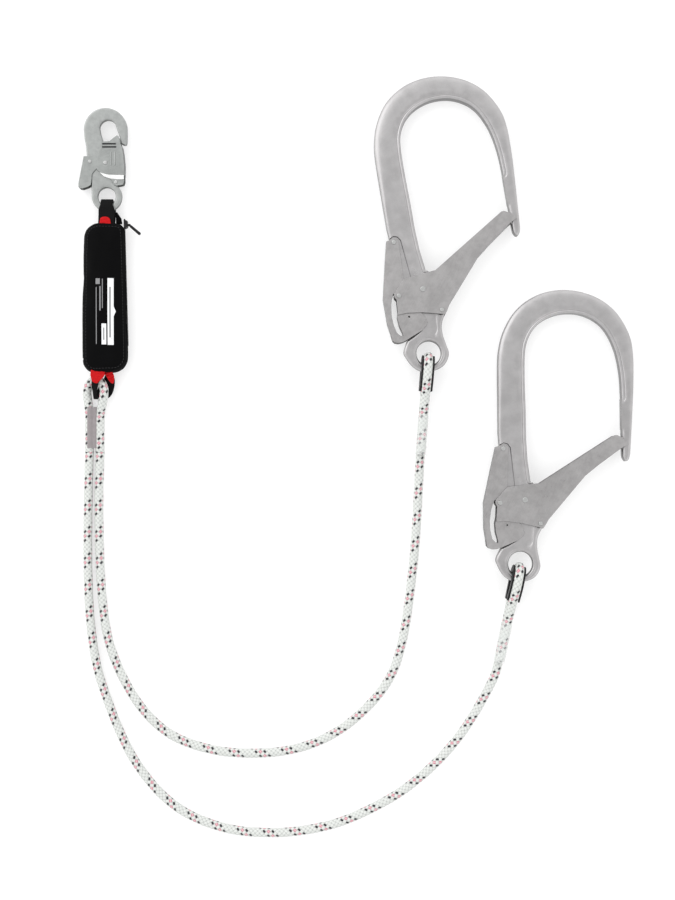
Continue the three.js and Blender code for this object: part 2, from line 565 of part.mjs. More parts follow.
function zipper() {
  const group = new THREE.Group();
  group.position.set(ZIP_TOP[0], ZIP_TOP[1], MID_Z);
  group.rotation.z = ZIP_TURN;
  const chain = box([GAP, -ZIP_LENGTH, -2.4], [GAP + 1.6, 0, 2.4]);
  const crown = plate([[2.2, -12], [5, -11], [5, -3], [2.2, -2]], -4.6, 4.6);
  const sides = [[-4.6, -2.8], [2.8, 4.6]].map(([a, b]) => box([0.5, -12, a], [2.4, -2, b]));
  const lug = box([4.6, -9.5, -0.8], [8.4, -6.5, 0.8]);
  const slider = cut(join(crown, ...sides, lug), cylinder([7, -8], 0.95, -5, 5, 12));
  const fork = [[-2.6, -1.15], [1.15, 2.6]].map(([a, b]) => box([6, -9.2, a], [10, -6.8, b]));
  const grip = plate([[9.2, -9.6], [24, -9.8], [25, -8], [24, -6.2], [9.2, -6.4]], -2.6, 2.6, 0.6);
  const puller = join(grip, ...fork, cylinder([7, -8], 0.6, -2.4, 2.4, 10));
  // The pull hangs out to the side, turned about its pin.
  const swung = puller
    .translate([-7, 8, 0])
    .rotate([0, 0, -42])
    .translate([7, -8, 0]);
  group.add(
    meshOf("zipper_chain", chain, FINISH.plastic),
    meshOf("zipper_slider", slider, FINISH.plastic),
    meshOf("zipper_pull", swung, FINISH.plastic),
  );
  return group;
}

// A band of webbing along a route; ratioAt gives its share of the full width at each point of it.
function band(points, section, steps, ratioAt) {
  const curve = through(points);
  const shape = new THREE.Shape(vectors(section));
  const geometry = new THREE.ExtrudeGeometry(shape, {
    extrudePath: curve, steps, bevelEnabled: false,
  });
  const centres = curve.getSpacedPoints(steps);
  const vertex = new THREE.Vector3();
  const at = geometry.attributes.position;
  for (let i = 0; i < at.count; i++) {
    vertex.fromBufferAttribute(at, i);
    const centre = centres.reduce((a, b) =>
      vertex.distanceToSquared(a) < vertex.distanceToSquared(b) ? a : b,
    );
    at.setX(i, centre.x + (vertex.x - centre.x) * ratioAt(centre));
  }
  return solid(geometry);
}

// The webbing narrows where it is drawn through the snap hook's eye.
function topLoop() {
  const nose = SNAP_RING[1] - SNAP_DROP;
  const route = TOP_LOOP.map(([down, z]) => [SNAP_RING[0] + 0.2, nose - down, z]);
  const { smoothstep } = THREE.MathUtils;
  const drawn = ({ y }) => 1 - 0.42 * smoothstep(y, nose - 13, nose - 5);
  return band(route, rectangle(20, 2.4), 30, drawn);
}

// The lower loop is bunched where it passes between the strands of the rope.
function bottomLoop() {
  const { smoothstep } = THREE.MathUtils;
  const drawn = ({ y }) => 1 - 0.42 * (1 - smoothstep(y, -34, -20));
  return band(BOTTOM_LOOP, rectangle(2.2, 8.4), 34, drawn);
}

function absorber() {
  const group = new THREE.Group();
  group.add(
    meshOf("pouch_front", pouchHalf(MID_Z + 0.15, 40), FINISH.cloth),
    meshOf("pouch_back", pouchHalf(-10, MID_Z - 0.15), FINISH.cloth),
    meshOf("pouch_label", box([-320.8, 26.8, 30.3], [-298.2, 109, 30.9]), FINISH.label),
    meshOf("tear_webbing_pack", box([-331, 30, 6.8], [-293.5, 142, 23.2]), FINISH.red),
    meshOf("top_loop", topLoop(), FINISH.webbing),
    meshOf("top_red_tab", plate(TOP_TAB, 20.9, 22.7, 0.6), FINISH.red),
    meshOf("bottom_loop", bottomLoop(), FINISH.webbing),
    meshOf("bottom_red_left", plate(WRAP_LEFT, 21.8, 23.1, 0.4), FINISH.red),
    meshOf("bottom_red_right", plate(WRAP_RIGHT, 14.8, 16.8, 0.7), FINISH.red),
    meshOf("zipper_tail", plate(ZIP_TAIL, 8.6, 13.6, 0.8), FINISH.cloth),
    zipper(),
  );
  return group;
}

// ---------------------------------------------------------------- rope and seizing
// Sewn filling in the valley between the two strands, its sides hollowed to the ropes.
function seizing() {
  const [left, right] = [-332.3, -318.9];
  const slab = box([left + 1.2, -99.5, 0.6], [right - 1.2, -57.5, 11.6]);
  const strands = [left, right].map((x) => {
    const geometry = new THREE.CylinderGeometry(ROPE_R + GAP, ROPE_R + GAP, 80, 24);
    return solid(geometry.translate(x, -78, ROPE_Z));
  });
  const bodies = cut(slab, ...strands).decompose();
  return bodies.reduce((most, body) => (body.volume() > most.volume() ? body : most));
}

function ropes() {
  const group = new THREE.Group();
  group.add(
    meshOf("rope_leg_1", tube(LEG_1, ROPE_R, 8, 30), FINISH.rope),
    meshOf("rope_leg_2", tube(LEG_2, ROPE_R, 8, 31), FINISH.rope),
    meshOf("rope_bight", tube(BIGHT, ROPE_R, 8, 19), FINISH.rope),
    meshOf("rope_seizing", seizing(), FINISH.thread),
  );
  return group;
}

const lanyard = new THREE.Group();
lanyard.name = "shock_absorbing_lanyard";
lanyard.add(absorber(), snapHook(), ropes());
for (const hook of HOOKS) lanyard.add(scaffoldHook(hook), ropeEye(hook));

export default lanyard;
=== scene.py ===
"""Twin-leg rope lanyard with a tear-webbing shock absorber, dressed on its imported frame."""
import logging
import math
from dataclasses import dataclass, field
from enum import Enum
from typing import Callable, Iterable, Sequence

import bmesh
import bpy
import numpy as np
from mathutils import Matrix, Vector, noise
from mathutils.bvhtree import BVHTree
from mathutils.geometry import delaunay_2d_cdt


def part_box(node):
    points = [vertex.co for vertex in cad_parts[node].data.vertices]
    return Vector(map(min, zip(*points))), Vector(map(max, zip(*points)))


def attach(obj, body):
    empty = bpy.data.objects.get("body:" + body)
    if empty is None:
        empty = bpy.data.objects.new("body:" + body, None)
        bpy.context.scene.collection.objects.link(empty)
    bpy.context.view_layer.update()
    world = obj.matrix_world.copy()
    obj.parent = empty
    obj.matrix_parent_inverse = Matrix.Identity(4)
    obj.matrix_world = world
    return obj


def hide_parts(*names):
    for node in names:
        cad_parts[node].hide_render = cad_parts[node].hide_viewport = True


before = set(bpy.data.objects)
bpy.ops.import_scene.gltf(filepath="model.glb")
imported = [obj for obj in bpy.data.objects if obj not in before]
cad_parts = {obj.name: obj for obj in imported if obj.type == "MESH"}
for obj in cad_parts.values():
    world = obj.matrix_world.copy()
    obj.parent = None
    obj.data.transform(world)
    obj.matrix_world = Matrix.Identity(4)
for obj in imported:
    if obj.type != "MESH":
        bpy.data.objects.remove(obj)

log = logging.getLogger("lanyard")
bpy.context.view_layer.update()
MM = 0.001
ROPE_RADIUS = 0.0055
ROPE_REST = 0.0057
WELD_GAP = 1e-5
FLAT_ANGLE = math.radians(0.6)
BEVEL_ANGLE = math.radians(32)
SMOOTH_ANGLE = math.radians(38)
FACE_WEIGHT = 90
PATCH_ACROSS, PATCH_ALONG, PATCH_DEPTH = 1.2, 1.5, 0.2
STITCH_SHAPE = ((0.0, 0.35), (0.25, 1.0), (0.75, 1.0), (1.0, 0.35))
STITCH_SIDES = 6
SPLINE_PARTS = 24
WHOLE_NUMBER_SLACK = 0.4
Point = Sequence[float]
Piece = bpy.types.Object
Node = bpy.types.Node
Socket = bpy.types.NodeSocket
Tree = bpy.types.NodeTree


# -------------------- shader groups
class Group(Enum):
    """The surface effects that several finishes share."""

    GRAIN = "surface_grain"
    WEAR = "edge_wear"
    BRUSHED = "rolled_streaks"
    WEAVE = "woven_yarn"
    BRAID = "kernmantle_braid"
    DUST = "settled_dust"


class GroupShop:
    """Builds each shader group once and hands it out."""

    def __init__(self) -> None:
        """Start with an empty shelf."""
        self._made: dict[Group, Tree] = {}

    def get(self, kind: Group) -> Tree:
        """Give the group of that kind, building it the first time.

        Args:
            kind: which effect is wanted.

        Returns:
            The shader node tree.
        """
        if kind not in self._made:
            tree = bpy.data.node_groups.new(kind.value, "ShaderNodeTree")
            getattr(self, f"_build_{kind.name.lower()}")(Wiring(tree))
            self._made[kind] = tree
        return self._made[kind]

    def _build_grain(self, w: "Wiring") -> None:
        """Mottled value and fine height from two scales of noise.

        Args:
            w: the wiring of the empty group.
        """
        inp = w.inputs(Scale=400.0, Mottle=25.0)
        out = w.outputs("Value", "Height")
        place = w.node("ShaderNodeTexCoord").outputs["Object"]
        fine = w.noise(place, inp["Scale"], 3.0, 0.55)
        broad = w.noise(place, inp["Mottle"], 4.0, 0.6)
        mix = w.math("MULTIPLY_ADD", fine, 0.35, w.math("MULTIPLY", broad, 0.65))
        w.link(mix, out["Value"])
        w.link(fine, out["Height"])

    def _build_wear(self, w: "Wiring") -> None:
        """Mask of rubbed edges: convex places broken up by noise.

        Args:
            w: the wiring of the empty group.
        """
        inp = w.inputs(Amount=0.5, Breakup=120.0)
        out = w.outputs("Mask")
        place = w.node("ShaderNodeTexCoord").outputs["Object"]
        point = w.node("ShaderNodeNewGeometry").outputs["Pointiness"]
        edge = w.remap(point, 0.505, 0.56)
        broken = w.remap(w.noise(place, inp["Breakup"], 4.0, 0.6), 0.35, 0.65)
        worn = w.math("MULTIPLY", edge, w.math("MULTIPLY_ADD", broken, 0.6, 0.4))
        w.link(w.math("MULTIPLY", worn, inp["Amount"]), out["Mask"])

    def _build_brushed(self, w: "Wiring") -> None:
        """Streaks of rolled or brushed metal along one turned direction.

        Args:
            w: the wiring of the empty group.
        """
        inp = w.inputs(Turn=0.0, Fineness=900.0)
        out = w.outputs("Value", "Height")
        place = w.node("ShaderNodeTexCoord").outputs["Object"]
        turn = w.node("ShaderNodeVectorRotate", rotation_type="Z_AXIS")
        w.link(place, turn.inputs["Vector"])
        w.link(inp["Turn"], turn.inputs["Angle"])
        stretch = w.node("ShaderNodeMapping")
        stretch.inputs["Scale"].default_value = (1.0, 0.03, 1.0)
        w.link(turn.outputs[0], stretch.inputs["Vector"])
        streak = w.noise(stretch.outputs[0], inp["Fineness"], 3.0, 0.6)
        w.link(streak, out["Value"])
        w.link(streak, out["Height"])

    def _build_weave(self, w: "Wiring") -> None:
        """Over-and-under yarns along the two directions of a flat coordinate.

        Args:
            w: the wiring of the empty group.
        """
        inp = w.inputs(Across=1000.0, Along=1000.0, Skew=1.0)
        vector = w.vector_input("Place")
        out = w.outputs("Height", "Value")
        split = w.node("ShaderNodeSeparateXYZ")
        w.link(vector, split.inputs[0])
        a = w.math("MULTIPLY", split.outputs[0], inp["Across"])
        b = w.math("MULTIPLY", split.outputs[1], inp["Along"])
        slant = w.math("MULTIPLY_ADD", a, inp["Skew"], b)
        ribs = w.math("ABSOLUTE", w.math("SINE", w.math("MULTIPLY", a, math.pi)))
        twill = w.math("ABSOLUTE", w.math("SINE", w.math("MULTIPLY", slant, math.pi)))
        height = w.math("MULTIPLY_ADD", ribs, 0.45, w.math("MULTIPLY", twill, 0.55))
        yarn = w.node("ShaderNodeTexWhiteNoise", noise_dimensions="2D")
        cell = w.node("ShaderNodeCombineXYZ")
        w.link(w.math("FLOOR", a), cell.inputs[0])
        w.link(w.math("FLOOR", slant), cell.inputs[1])
        w.link(cell.outputs[0], yarn.inputs[0])
        w.link(height, out["Height"])
        w.link(yarn.outputs["Value"], out["Value"])

    def _build_braid(self, w: "Wiring") -> None:
        """Plaited sheath of a rope: yarn height and the two tracer colours.

        Args:
            w: the wiring of the empty group.
        """
        inp = w.inputs(Carriers=6.0, Lay=0.033)
        vector = w.vector_input("Place")
        out = w.outputs("Height", "Dark", "Bright", "Yarn")
        split = w.node("ShaderNodeSeparateXYZ")
        w.link(vector, split.inputs[0])
        run = w.math("DIVIDE", split.outputs[0], inp["Lay"])
        around = w.math("ADD", split.outputs[1], 1.0 / 12.0)
        right = w.math("MULTIPLY", w.math("SUBTRACT", around, run), inp["Carriers"])
        left = w.math("MULTIPLY", w.math("ADD", around, run), inp["Carriers"])
        r_cell, l_cell = w.math("FLOOR", right), w.math("FLOOR", left)
        parity = w.math("FLOORED_MODULO", w.math("ADD", r_cell, l_cell), 2.0)
        over = w.math("LESS_THAN", parity, 0.5)
        r_off = w.math("ABSOLUTE", w.math("SUBTRACT", w.math("FRACT", right), 0.5))
        l_off = w.math("ABSOLUTE", w.math("SUBTRACT", w.math("FRACT", left), 0.5))
        across = w.mix(over, l_off, r_off)
        along = w.mix(over, r_off, l_off)
        hump = w.math("SUBTRACT", 1.0, w.math("POWER", w.math("MULTIPLY", across, 2.0), 2.5))
        dip = w.math("MULTIPLY", w.math("POWER", w.math("MULTIPLY", along, 2.0), 2.0), 0.55)
        w.link(w.math("SUBTRACT", hump, dip), out["Height"])
        index = w.math("FLOORED_MODULO", r_cell, inp["Carriers"])
        ends = w.math("MAXIMUM", w.near(index, 0.0), w.near(index, 2.0))
        split_yarn = w.remap(across, 0.05, 0.1)
        core = w.math("MULTIPLY", w.near(index, 1.0), split_yarn)
        spread = w.math("ADD", w.math("POWER", w.math("DIVIDE", across, 0.36), 2.0),
                        w.math("POWER", w.math("DIVIDE", along, 0.58), 2.0))
        dash = w.math("MULTIPLY", over, w.math("LESS_THAN", spread, 1.0))
        band = w.math("MULTIPLY", over, w.math("LESS_THAN", spread, 1.4))
        w.link(w.math("MULTIPLY", ends, dash), out["Dark"])
        w.link(w.math("MULTIPLY", core, band), out["Bright"])
        fibre = w.math("SINE", w.math("MULTIPLY", across, 44.0))
        w.link(w.math("MULTIPLY_ADD", fibre, 0.5, 0.5), out["Yarn"])

    def _build_dust(self, w: "Wiring") -> None:
        """Mask of dust that settles on faces turned upwards.

        Args:
            w: the wiring of the empty group.
        """
        inp = w.inputs(Amount=0.2, Patches=35.0)
        out = w.outputs("Mask")
        place = w.node("ShaderNodeTexCoord").outputs["Object"]
        split = w.node("ShaderNodeSeparateXYZ")
        w.link(w.node("ShaderNodeNewGeometry").outputs["Normal"], split.inputs[0])
        up = w.remap(split.outputs[2], 0.2, 1.0)
        patch = w.remap(w.noise(place, inp["Patches"], 5.0, 0.65), 0.42, 0.75)
        w.link(w.math("MULTIPLY", w.math("MULTIPLY", up, patch), inp["Amount"]), out["Mask"])


class Wiring:
    """Short hand for placing and joining nodes in one tree."""

    def __init__(self, tree: Tree) -> None:
        """Keep the tree that is wired.

        Args:
            tree: a group's or a material's node tree.
        """
        self.tree = tree
        self._entry: Node | None = None

    def node(self, kind: str, **settings: object) -> Node:
        """Add a node and set its plain properties.

        Args:
            kind: the node's type name.
            **settings: properties set on it.

        Returns:
            The new node.
        """
        made = self.tree.nodes.new(kind)
        for key, value in settings.items():
            setattr(made, key, value)
        return made

    def link(self, source: Socket, target: Socket) -> None:
        """Join an output to an input."""
        self.tree.links.new(source, target)

    def feed(self, value: object, target: Socket) -> None:
        """Link a socket, or set a number as the input's own value.

        Args:
            value: a socket or a number.
            target: the input it goes to.
        """
        if isinstance(value, Socket):
            self.link(value, target)
        else:
            target.default_value = value

    def inputs(self, **values: float) -> dict[str, Socket]:
        """Give the group number inputs with their defaults.

        Args:
            **values: the input names and default values.

        Returns:
            The sockets inside the group, by name.
        """
        for name, value in values.items():
            item = self.tree.interface.new_socket(
                name=name, in_out="INPUT", socket_type="NodeSocketFloat"
            )
            item.default_value = value
        self._entry = self.node("NodeGroupInput")
        return {name: self._entry.outputs[name] for name in values}

    def vector_input(self, name: str) -> Socket:
        """Give the group a vector input and return its socket inside.

        Args:
            name: the input's name.

        Returns:
            Its socket inside the group.
        """
        self.tree.interface.new_socket(
            name=name, in_out="INPUT", socket_type="NodeSocketVector"
        )
        return self._entry.outputs[name]

    def outputs(self, *names: str) -> dict[str, Socket]:
        """Give the group number outputs.

        Args:
            *names: the output names.

        Returns:
            The sockets inside the group, by name.
        """
        for name in names:
            self.tree.interface.new_socket(
                name=name, in_out="OUTPUT", socket_type="NodeSocketFloat"
            )
        leave = self.node("NodeGroupOutput")
        return {name: leave.inputs[name] for name in names}

    def math(self, operation: str, a: object, b: object = None,
             c: object = None) -> Socket:
        """Add a math node.

        Args:
            operation: what it does.
            a: first number or socket.
            b: second number or socket, if the operation has one.
            c: third number or socket, if the operation has one.

        Returns:
            Its result socket.
        """
        made = self.node("ShaderNodeMath", operation=operation)
        for i, value in enumerate((a, b, c)):
            if value is not None:
                self.feed(value, made.inputs[i])
        return made.outputs[0]

    def near(self, value: object, target: float) -> Socket:
        """Give 1 where a whole number equals the target."""
        return self.math("COMPARE", value, target, WHOLE_NUMBER_SLACK)

    def flatness(self) -> Socket:
        """Give 1 on level faces and 0 on upright ones.

        Returns:
            The size of the normal's upward part.
        """
        facing = self.node("ShaderNodeSeparateXYZ")
        self.link(self.node("ShaderNodeNewGeometry").outputs["Normal"], facing.inputs[0])
        return self.math("ABSOLUTE", facing.outputs[2])

    def remap(self, value: object, low: float, high: float) -> Socket:
        """Spread low to high over 0 to 1, clamped and smooth.

        Args:
            value: a socket or a number.
            low: what becomes 0.
            high: what becomes 1.

        Returns:
            The result socket.
        """
        made = self.node("ShaderNodeMapRange", interpolation_type="SMOOTHSTEP")
        self.feed(value, made.inputs["Value"])
        made.inputs["From Min"].default_value = low
        made.inputs["From Max"].default_value = high
        return made.outputs["Result"]

    def mix(self, factor: object, a: object, b: object) -> Socket:
        """Mix two numbers.

        Args:
            factor: the share of b.
            a: first number or socket.
            b: second number or socket.

        Returns:
            The mixed number.
        """
        made = self.node("ShaderNodeMix", data_type="FLOAT")
        for socket, value in zip(made.inputs[:1] + made.inputs[2:4], (factor, a, b)):
            self.feed(value, socket)
        return made.outputs[0]

    def blend(self, factor: object, a: object, b: object) -> Socket:
        """Mix two colours, each a socket or three numbers.

        Args:
            factor: the share of b.
            a: first colour.
            b: second colour.

        Returns:
            The mixed colour.
        """
        made = self.node("ShaderNodeMix", data_type="RGBA")
        self.feed(factor, made.inputs[0])
        for socket, value in zip(made.inputs[6:8], (a, b)):
            self.feed(value if isinstance(value, Socket) else (*value, 1.0), socket)
        return made.outputs[2]

    def noise(self, place: object, scale: object, detail: float,
              rough: float) -> Socket:
        """Add a noise texture.

        Args:
            place: the coordinate it is read at.
            scale: its scale, a number or socket.
            detail: its octaves.
            rough: how strong the fine octaves are.

        Returns:
            Its value socket.
        """
        made = self.node("ShaderNodeTexNoise")
        self.feed(place, made.inputs["Vector"])
        self.feed(scale, made.inputs["Scale"])
        made.inputs["Detail"].default_value = detail
        made.inputs["Roughness"].default_value = rough
        return made.outputs["Fac"]

    def place(self, tree: Tree, **values: object) -> Node:
        """Place a shader group with its own values.

        Args:
            tree: the group.
            **values: numbers or sockets for its inputs.

        Returns:
            The group node.
        """
        made = self.node("ShaderNodeGroup", node_tree=tree)
        for name, value in values.items():
            self.feed(value, made.inputs[name])
        return made

    def grain(self, scale: float, mottle: float) -> Node:
        """Place the surface grain, its fine and its broad scale given."""
        return self.place(SHOP.get(Group.GRAIN), Scale=scale, Mottle=mottle)

    def bump(self, height: object, distance: float, strength: float) -> Socket:
        """Turn a height into a normal.

        Args:
            height: the height's socket.
            distance: the relief of a height of 1, in metres.
            strength: how much of it shows.

        Returns:
            The normal's socket.
        """
        made = self.node("ShaderNodeBump")
        made.inputs["Strength"].default_value = strength
        made.inputs["Distance"].default_value = distance
        self.feed(height, made.inputs["Height"])
        return made.outputs["Normal"]


SHOP = GroupShop()


# -------------------- finishes
@dataclass(frozen=True)
class Finish:
    """A finish: its name, its colour and how it takes light."""

    name: str
    color: tuple[float, float, float]
    roughness: float = 0.5
    metallic: float = 0.0

    def material(self) -> bpy.types.Material:
        """Give the material, building it the first time.

        Returns:
            The finished material.
        """
        made = bpy.data.materials.get(self.name)
        if made is None:
            made = bpy.data.materials.new(self.name)
            made.use_nodes = True
            wiring = Wiring(made.node_tree)
            shader = made.node_tree.nodes["Principled BSDF"]
            shader.inputs["Metallic"].default_value = self.metallic
            shader.inputs["Roughness"].default_value = self.roughness
            self.wire(wiring, shader)
        return made

    def wire(self, w: Wiring, shader: Node) -> None:
        """Wire the colour and relief; each kind of finish has its own.

        Args:
            w: the material's wiring.
            shader: its Principled BSDF.
        """
        raise NotImplementedError

    def tone(self, share: float) -> tuple[float, float, float]:
        """Give the finish's colour, darker or lighter by a share."""
        return tuple(min(1.0, c * share) for c in self.color)


@dataclass(frozen=True)
class TumbledMetal(Finish):
    """Forged or cast metal, tumbled to an even satin, rubbed bright on its edges, with painted
    shade on its upright sides.
    """

    grain: float = 900.0
    relief: float = 0.00006
    spangle: float = 60.0
    # painted shade: the share of the colour that upright faces keep, and the flatness where the
    # darkening starts
    painted_flank_shade: float = 0.45
    painted_shade_from: float = 0.5

    def wire(self, w: Wiring, shader: Node) -> None:
        """Mottle the colour, brighten the edges, paint shade on the upright faces and roughen the
        surface.

        Args:
            w: the wiring of the material.
            shader: its Principled BSDF.
        """
        grain = w.grain(self.grain, self.spangle)
        wear = w.place(SHOP.get(Group.WEAR), Amount=0.45)
        dust = w.place(SHOP.get(Group.DUST), Amount=0.12)
        value = w.remap(grain.outputs["Value"], 0.3, 0.7)
        color = w.blend(value, self.tone(0.9), self.tone(1.07))
        color = w.blend(wear.outputs["Mask"], color, self.tone(1.3))
        # painted shade: upright faces are darkened, standing in for the shade on steep rims
        painted_flank_shade = w.remap(w.flatness(), self.painted_shade_from, self.painted_shade_from - 0.4)
        color = w.blend(painted_flank_shade, color, self.tone(self.painted_flank_shade))
        color = w.blend(dust.outputs["Mask"], color, self.tone(0.8))
        w.link(color, shader.inputs["Base Color"])
        rough = w.math("MULTIPLY_ADD", value, 0.1, self.roughness - 0.05)
        rough = w.math("MULTIPLY_ADD", wear.outputs["Mask"], -0.12, rough)
        w.link(rough, shader.inputs["Roughness"])
        w.link(w.bump(grain.outputs["Height"], self.relief, 0.35), shader.inputs["Normal"])


@dataclass(frozen=True)
class RolledSheet(Finish):
    """Folded sheet steel with fine rolling streaks and light handling marks."""

    turn: float = 0.5
    relief: float = 0.00003
    # painted shade: the share of the colour that the sheet's upright edge faces keep, for dark
    # outlines round the plates
    painted_edge_shade: float = 0.3

    def wire(self, w: Wiring, shader: Node) -> None:
        """Streak the colour and roughness along the rolling direction, and paint shade on the
        upright edge faces.

        Args:
            w: the wiring of the material.
            shader: its Principled BSDF.
        """
        streak = w.place(SHOP.get(Group.BRUSHED), Turn=self.turn, Fineness=1500.0)
        grain = w.grain(500.0, 30.0)
        wear = w.place(SHOP.get(Group.WEAR), Amount=0.5)
        blotch = w.remap(grain.outputs["Value"], 0.35, 0.68)
        line = w.remap(streak.outputs["Value"], 0.3, 0.7)
        value = w.math("MULTIPLY_ADD", line, 0.4, w.math("MULTIPLY", blotch, 0.6))
        color = w.blend(value, self.tone(0.84), self.tone(1.1))
        color = w.blend(wear.outputs["Mask"], color, self.tone(1.35))
        # painted shade: the sheet's upright edge faces are darkened into a dark outline
        painted_edge_mask = w.remap(w.flatness(), 0.85, 0.4)
        color = w.blend(painted_edge_mask, color, self.tone(self.painted_edge_shade))
        w.link(color, shader.inputs["Base Color"])
        w.link(w.math("MULTIPLY_ADD", value, 0.14, self.roughness - 0.07),
               shader.inputs["Roughness"])
        w.link(w.bump(streak.outputs["Height"], self.relief, 0.3), shader.inputs["Normal"])


@dataclass(frozen=True)
class Moulded(Finish):
    """Moulded plastic with a fine spark-eroded grain."""

    def wire(self, w: Wiring, shader: Node) -> None:
        """Break up the colour and gloss a little and grain the surface.

        Args:
            w: the wiring of the material.
            shader: its Principled BSDF.
        """
        grain = w.grain(1600.0, 80.0)
        wear = w.place(SHOP.get(Group.WEAR), Amount=0.5)
        color = w.blend(grain.outputs["Value"], self.tone(0.8), self.tone(1.25))
        color = w.blend(wear.outputs["Mask"], color, self.tone(1.8))
        w.link(color, shader.inputs["Base Color"])
        w.link(w.math("MULTIPLY_ADD", grain.outputs["Value"], 0.15, self.roughness - 0.07),
               shader.inputs["Roughness"])
        shader.inputs["Specular IOR Level"].default_value = 0.2
        w.link(w.bump(grain.outputs["Height"], 0.00006, 0.4), shader.inputs["Normal"])


@dataclass(frozen=True)
class ClearFilm(Finish):
    """Thin clear shrink film over the splice."""

    def wire(self, w: Wiring, shader: Node) -> None:
        """Leave the film mostly see-through, hazy in patches.

        Args:
            w: the wiring of the material.
            shader: its Principled BSDF.
        """
        grain = w.grain(300.0, 60.0)
        w.link(w.blend(grain.outputs["Value"], self.tone(0.95), self.color),
               shader.inputs["Base Color"])
        w.link(w.math("MULTIPLY_ADD", grain.outputs["Value"], 0.12, 0.1), shader.inputs["Alpha"])
        w.link(w.bump(grain.outputs["Height"], 0.0002, 0.5), shader.inputs["Normal"])


@dataclass(frozen=True)
class WovenBand(Finish):
    """Woven webbing: yarn ribs across the band, with a soft sheen."""

    pitch: float = 0.0012
    relief: float = 0.00035

    def wire(self, w: Wiring, shader: Node) -> None:
        """Weave the band along its own length.

        Args:
            w: the wiring of the material.
            shader: its Principled BSDF.
        """
        shader.inputs["Sheen Weight"].default_value = 0.015
        shader.inputs["Sheen Roughness"].default_value = 0.5
        shader.inputs["Specular IOR Level"].default_value = 0.07
        uv = w.node("ShaderNodeUVMap", uv_map="band").outputs[0]
        weave = w.place(SHOP.get(Group.WEAVE), Across=0.6 / self.pitch, Along=1 / self.pitch,
                        Skew=0.5, Place=uv)
        grain = w.grain(700.0, 90.0)
        # partly painted shade: the weave's low places are darker and its raised yarns lighter,
        # mixed with the yarn's random grain
        tone = w.math("MULTIPLY_ADD", weave.outputs["Height"], 0.6,
                      w.math("MULTIPLY", grain.outputs["Value"], 0.4))
        w.link(w.blend(tone, self.tone(0.5), self.tone(1.35)), shader.inputs["Base Color"])
        w.link(w.bump(weave.outputs["Height"], self.relief, 0.8), shader.inputs["Normal"])


@dataclass(frozen=True)
class CoatedCloth(Finish):
    """Dense woven cloth of the absorber's cover, with lint and a soft sheen."""

    def wire(self, w: Wiring, shader: Node) -> None:
        """Weave the cloth finely and let lint and dust lift its black.

        Args:
            w: the wiring of the material.
            shader: its Principled BSDF.
        """
        shader.inputs["Sheen Weight"].default_value = 0.01
        shader.inputs["Sheen Roughness"].default_value = 0.45
        shader.inputs["Specular IOR Level"].default_value = 0.03
        place = w.node("ShaderNodeTexCoord").outputs["Object"]
        weave = w.place(SHOP.get(Group.WEAVE), Across=1500.0, Along=1500.0, Skew=0.0, Place=place)
        grain = w.grain(260.0, 30.0)
        dust = w.place(SHOP.get(Group.DUST), Amount=0.12, Patches=60.0)
        # partly painted shade: the weave's low places are darker and its raised yarns lighter,
        # mixed with the cloth's random grain
        tone = w.math("MULTIPLY_ADD", weave.outputs["Height"], 0.4,
                      w.math("MULTIPLY", grain.outputs["Value"], 0.6))
        color = w.blend(tone, self.tone(0.6), self.tone(1.4))
        color = w.blend(dust.outputs["Mask"], color, self.tone(2.6))
        w.link(color, shader.inputs["Base Color"])
        w.link(w.math("MULTIPLY_ADD", grain.outputs["Value"], 0.12, self.roughness - 0.06),
               shader.inputs["Roughness"])
        height = w.math("MULTIPLY_ADD", weave.outputs["Height"], 0.7,
                        w.math("MULTIPLY", grain.outputs["Height"], 0.5))
        w.link(w.bump(height, 0.00018, 0.6), shader.inputs["Normal"])


@dataclass(frozen=True)
class RopeSheath(Finish):
    """Plaited white sheath with dark and bright tracer yarns."""

    dark: tuple[float, float, float] = (0.012, 0.012, 0.016)
    bright: tuple[float, float, float] = (0.55, 0.07, 0.15)

    def wire(self, w: Wiring, shader: Node) -> None:
        """Plait the sheath, paint shade into the braid's low places and colour its tracers.

        Args:
            w: the wiring of the material.
            shader: its Principled BSDF.
        """
        shader.inputs["Sheen Weight"].default_value = 0.15
        uv = w.node("ShaderNodeUVMap", uv_map="band").outputs[0]
        braid = w.place(SHOP.get(Group.BRAID), Place=uv)
        grain = w.grain(900.0, 45.0)
        # painted shade: the low places between the braid's yarns are darkened
        crease = w.remap(braid.outputs["Height"], 0.0, 0.7)
        color = w.blend(crease, self.tone(0.66), self.color)
        color = w.blend(w.math("MULTIPLY", braid.outputs["Yarn"], 0.4), color, self.tone(0.62))
        shade = w.math("MULTIPLY", grain.outputs["Value"], 0.16)
        color = w.blend(shade, color, self.tone(0.7))
        color = w.blend(w.math("MULTIPLY", braid.outputs["Bright"], 0.8), color, self.bright)
        color = w.blend(braid.outputs["Dark"], color, self.dark)
        w.link(color, shader.inputs["Base Color"])
        height = w.math("MULTIPLY_ADD", braid.outputs["Yarn"], 0.06, braid.outputs["Height"])
        w.link(w.bump(height, 0.0006, 0.7), shader.inputs["Normal"])


@dataclass(frozen=True)
class Thread(Finish):
    """Sewing thread, twisted and slightly glossy."""

    def wire(self, w: Wiring, shader: Node) -> None:
        """Twist the colour finely.

        Args:
            w: the wiring of the material.
            shader: its Principled BSDF.
        """
        grain = w.grain(1800.0, 200.0)
        w.link(w.blend(grain.outputs["Value"], self.tone(0.65), self.tone(1.25)),
               shader.inputs["Base Color"])
        w.link(w.bump(grain.outputs["Height"], 0.0001, 0.5), shader.inputs["Normal"])


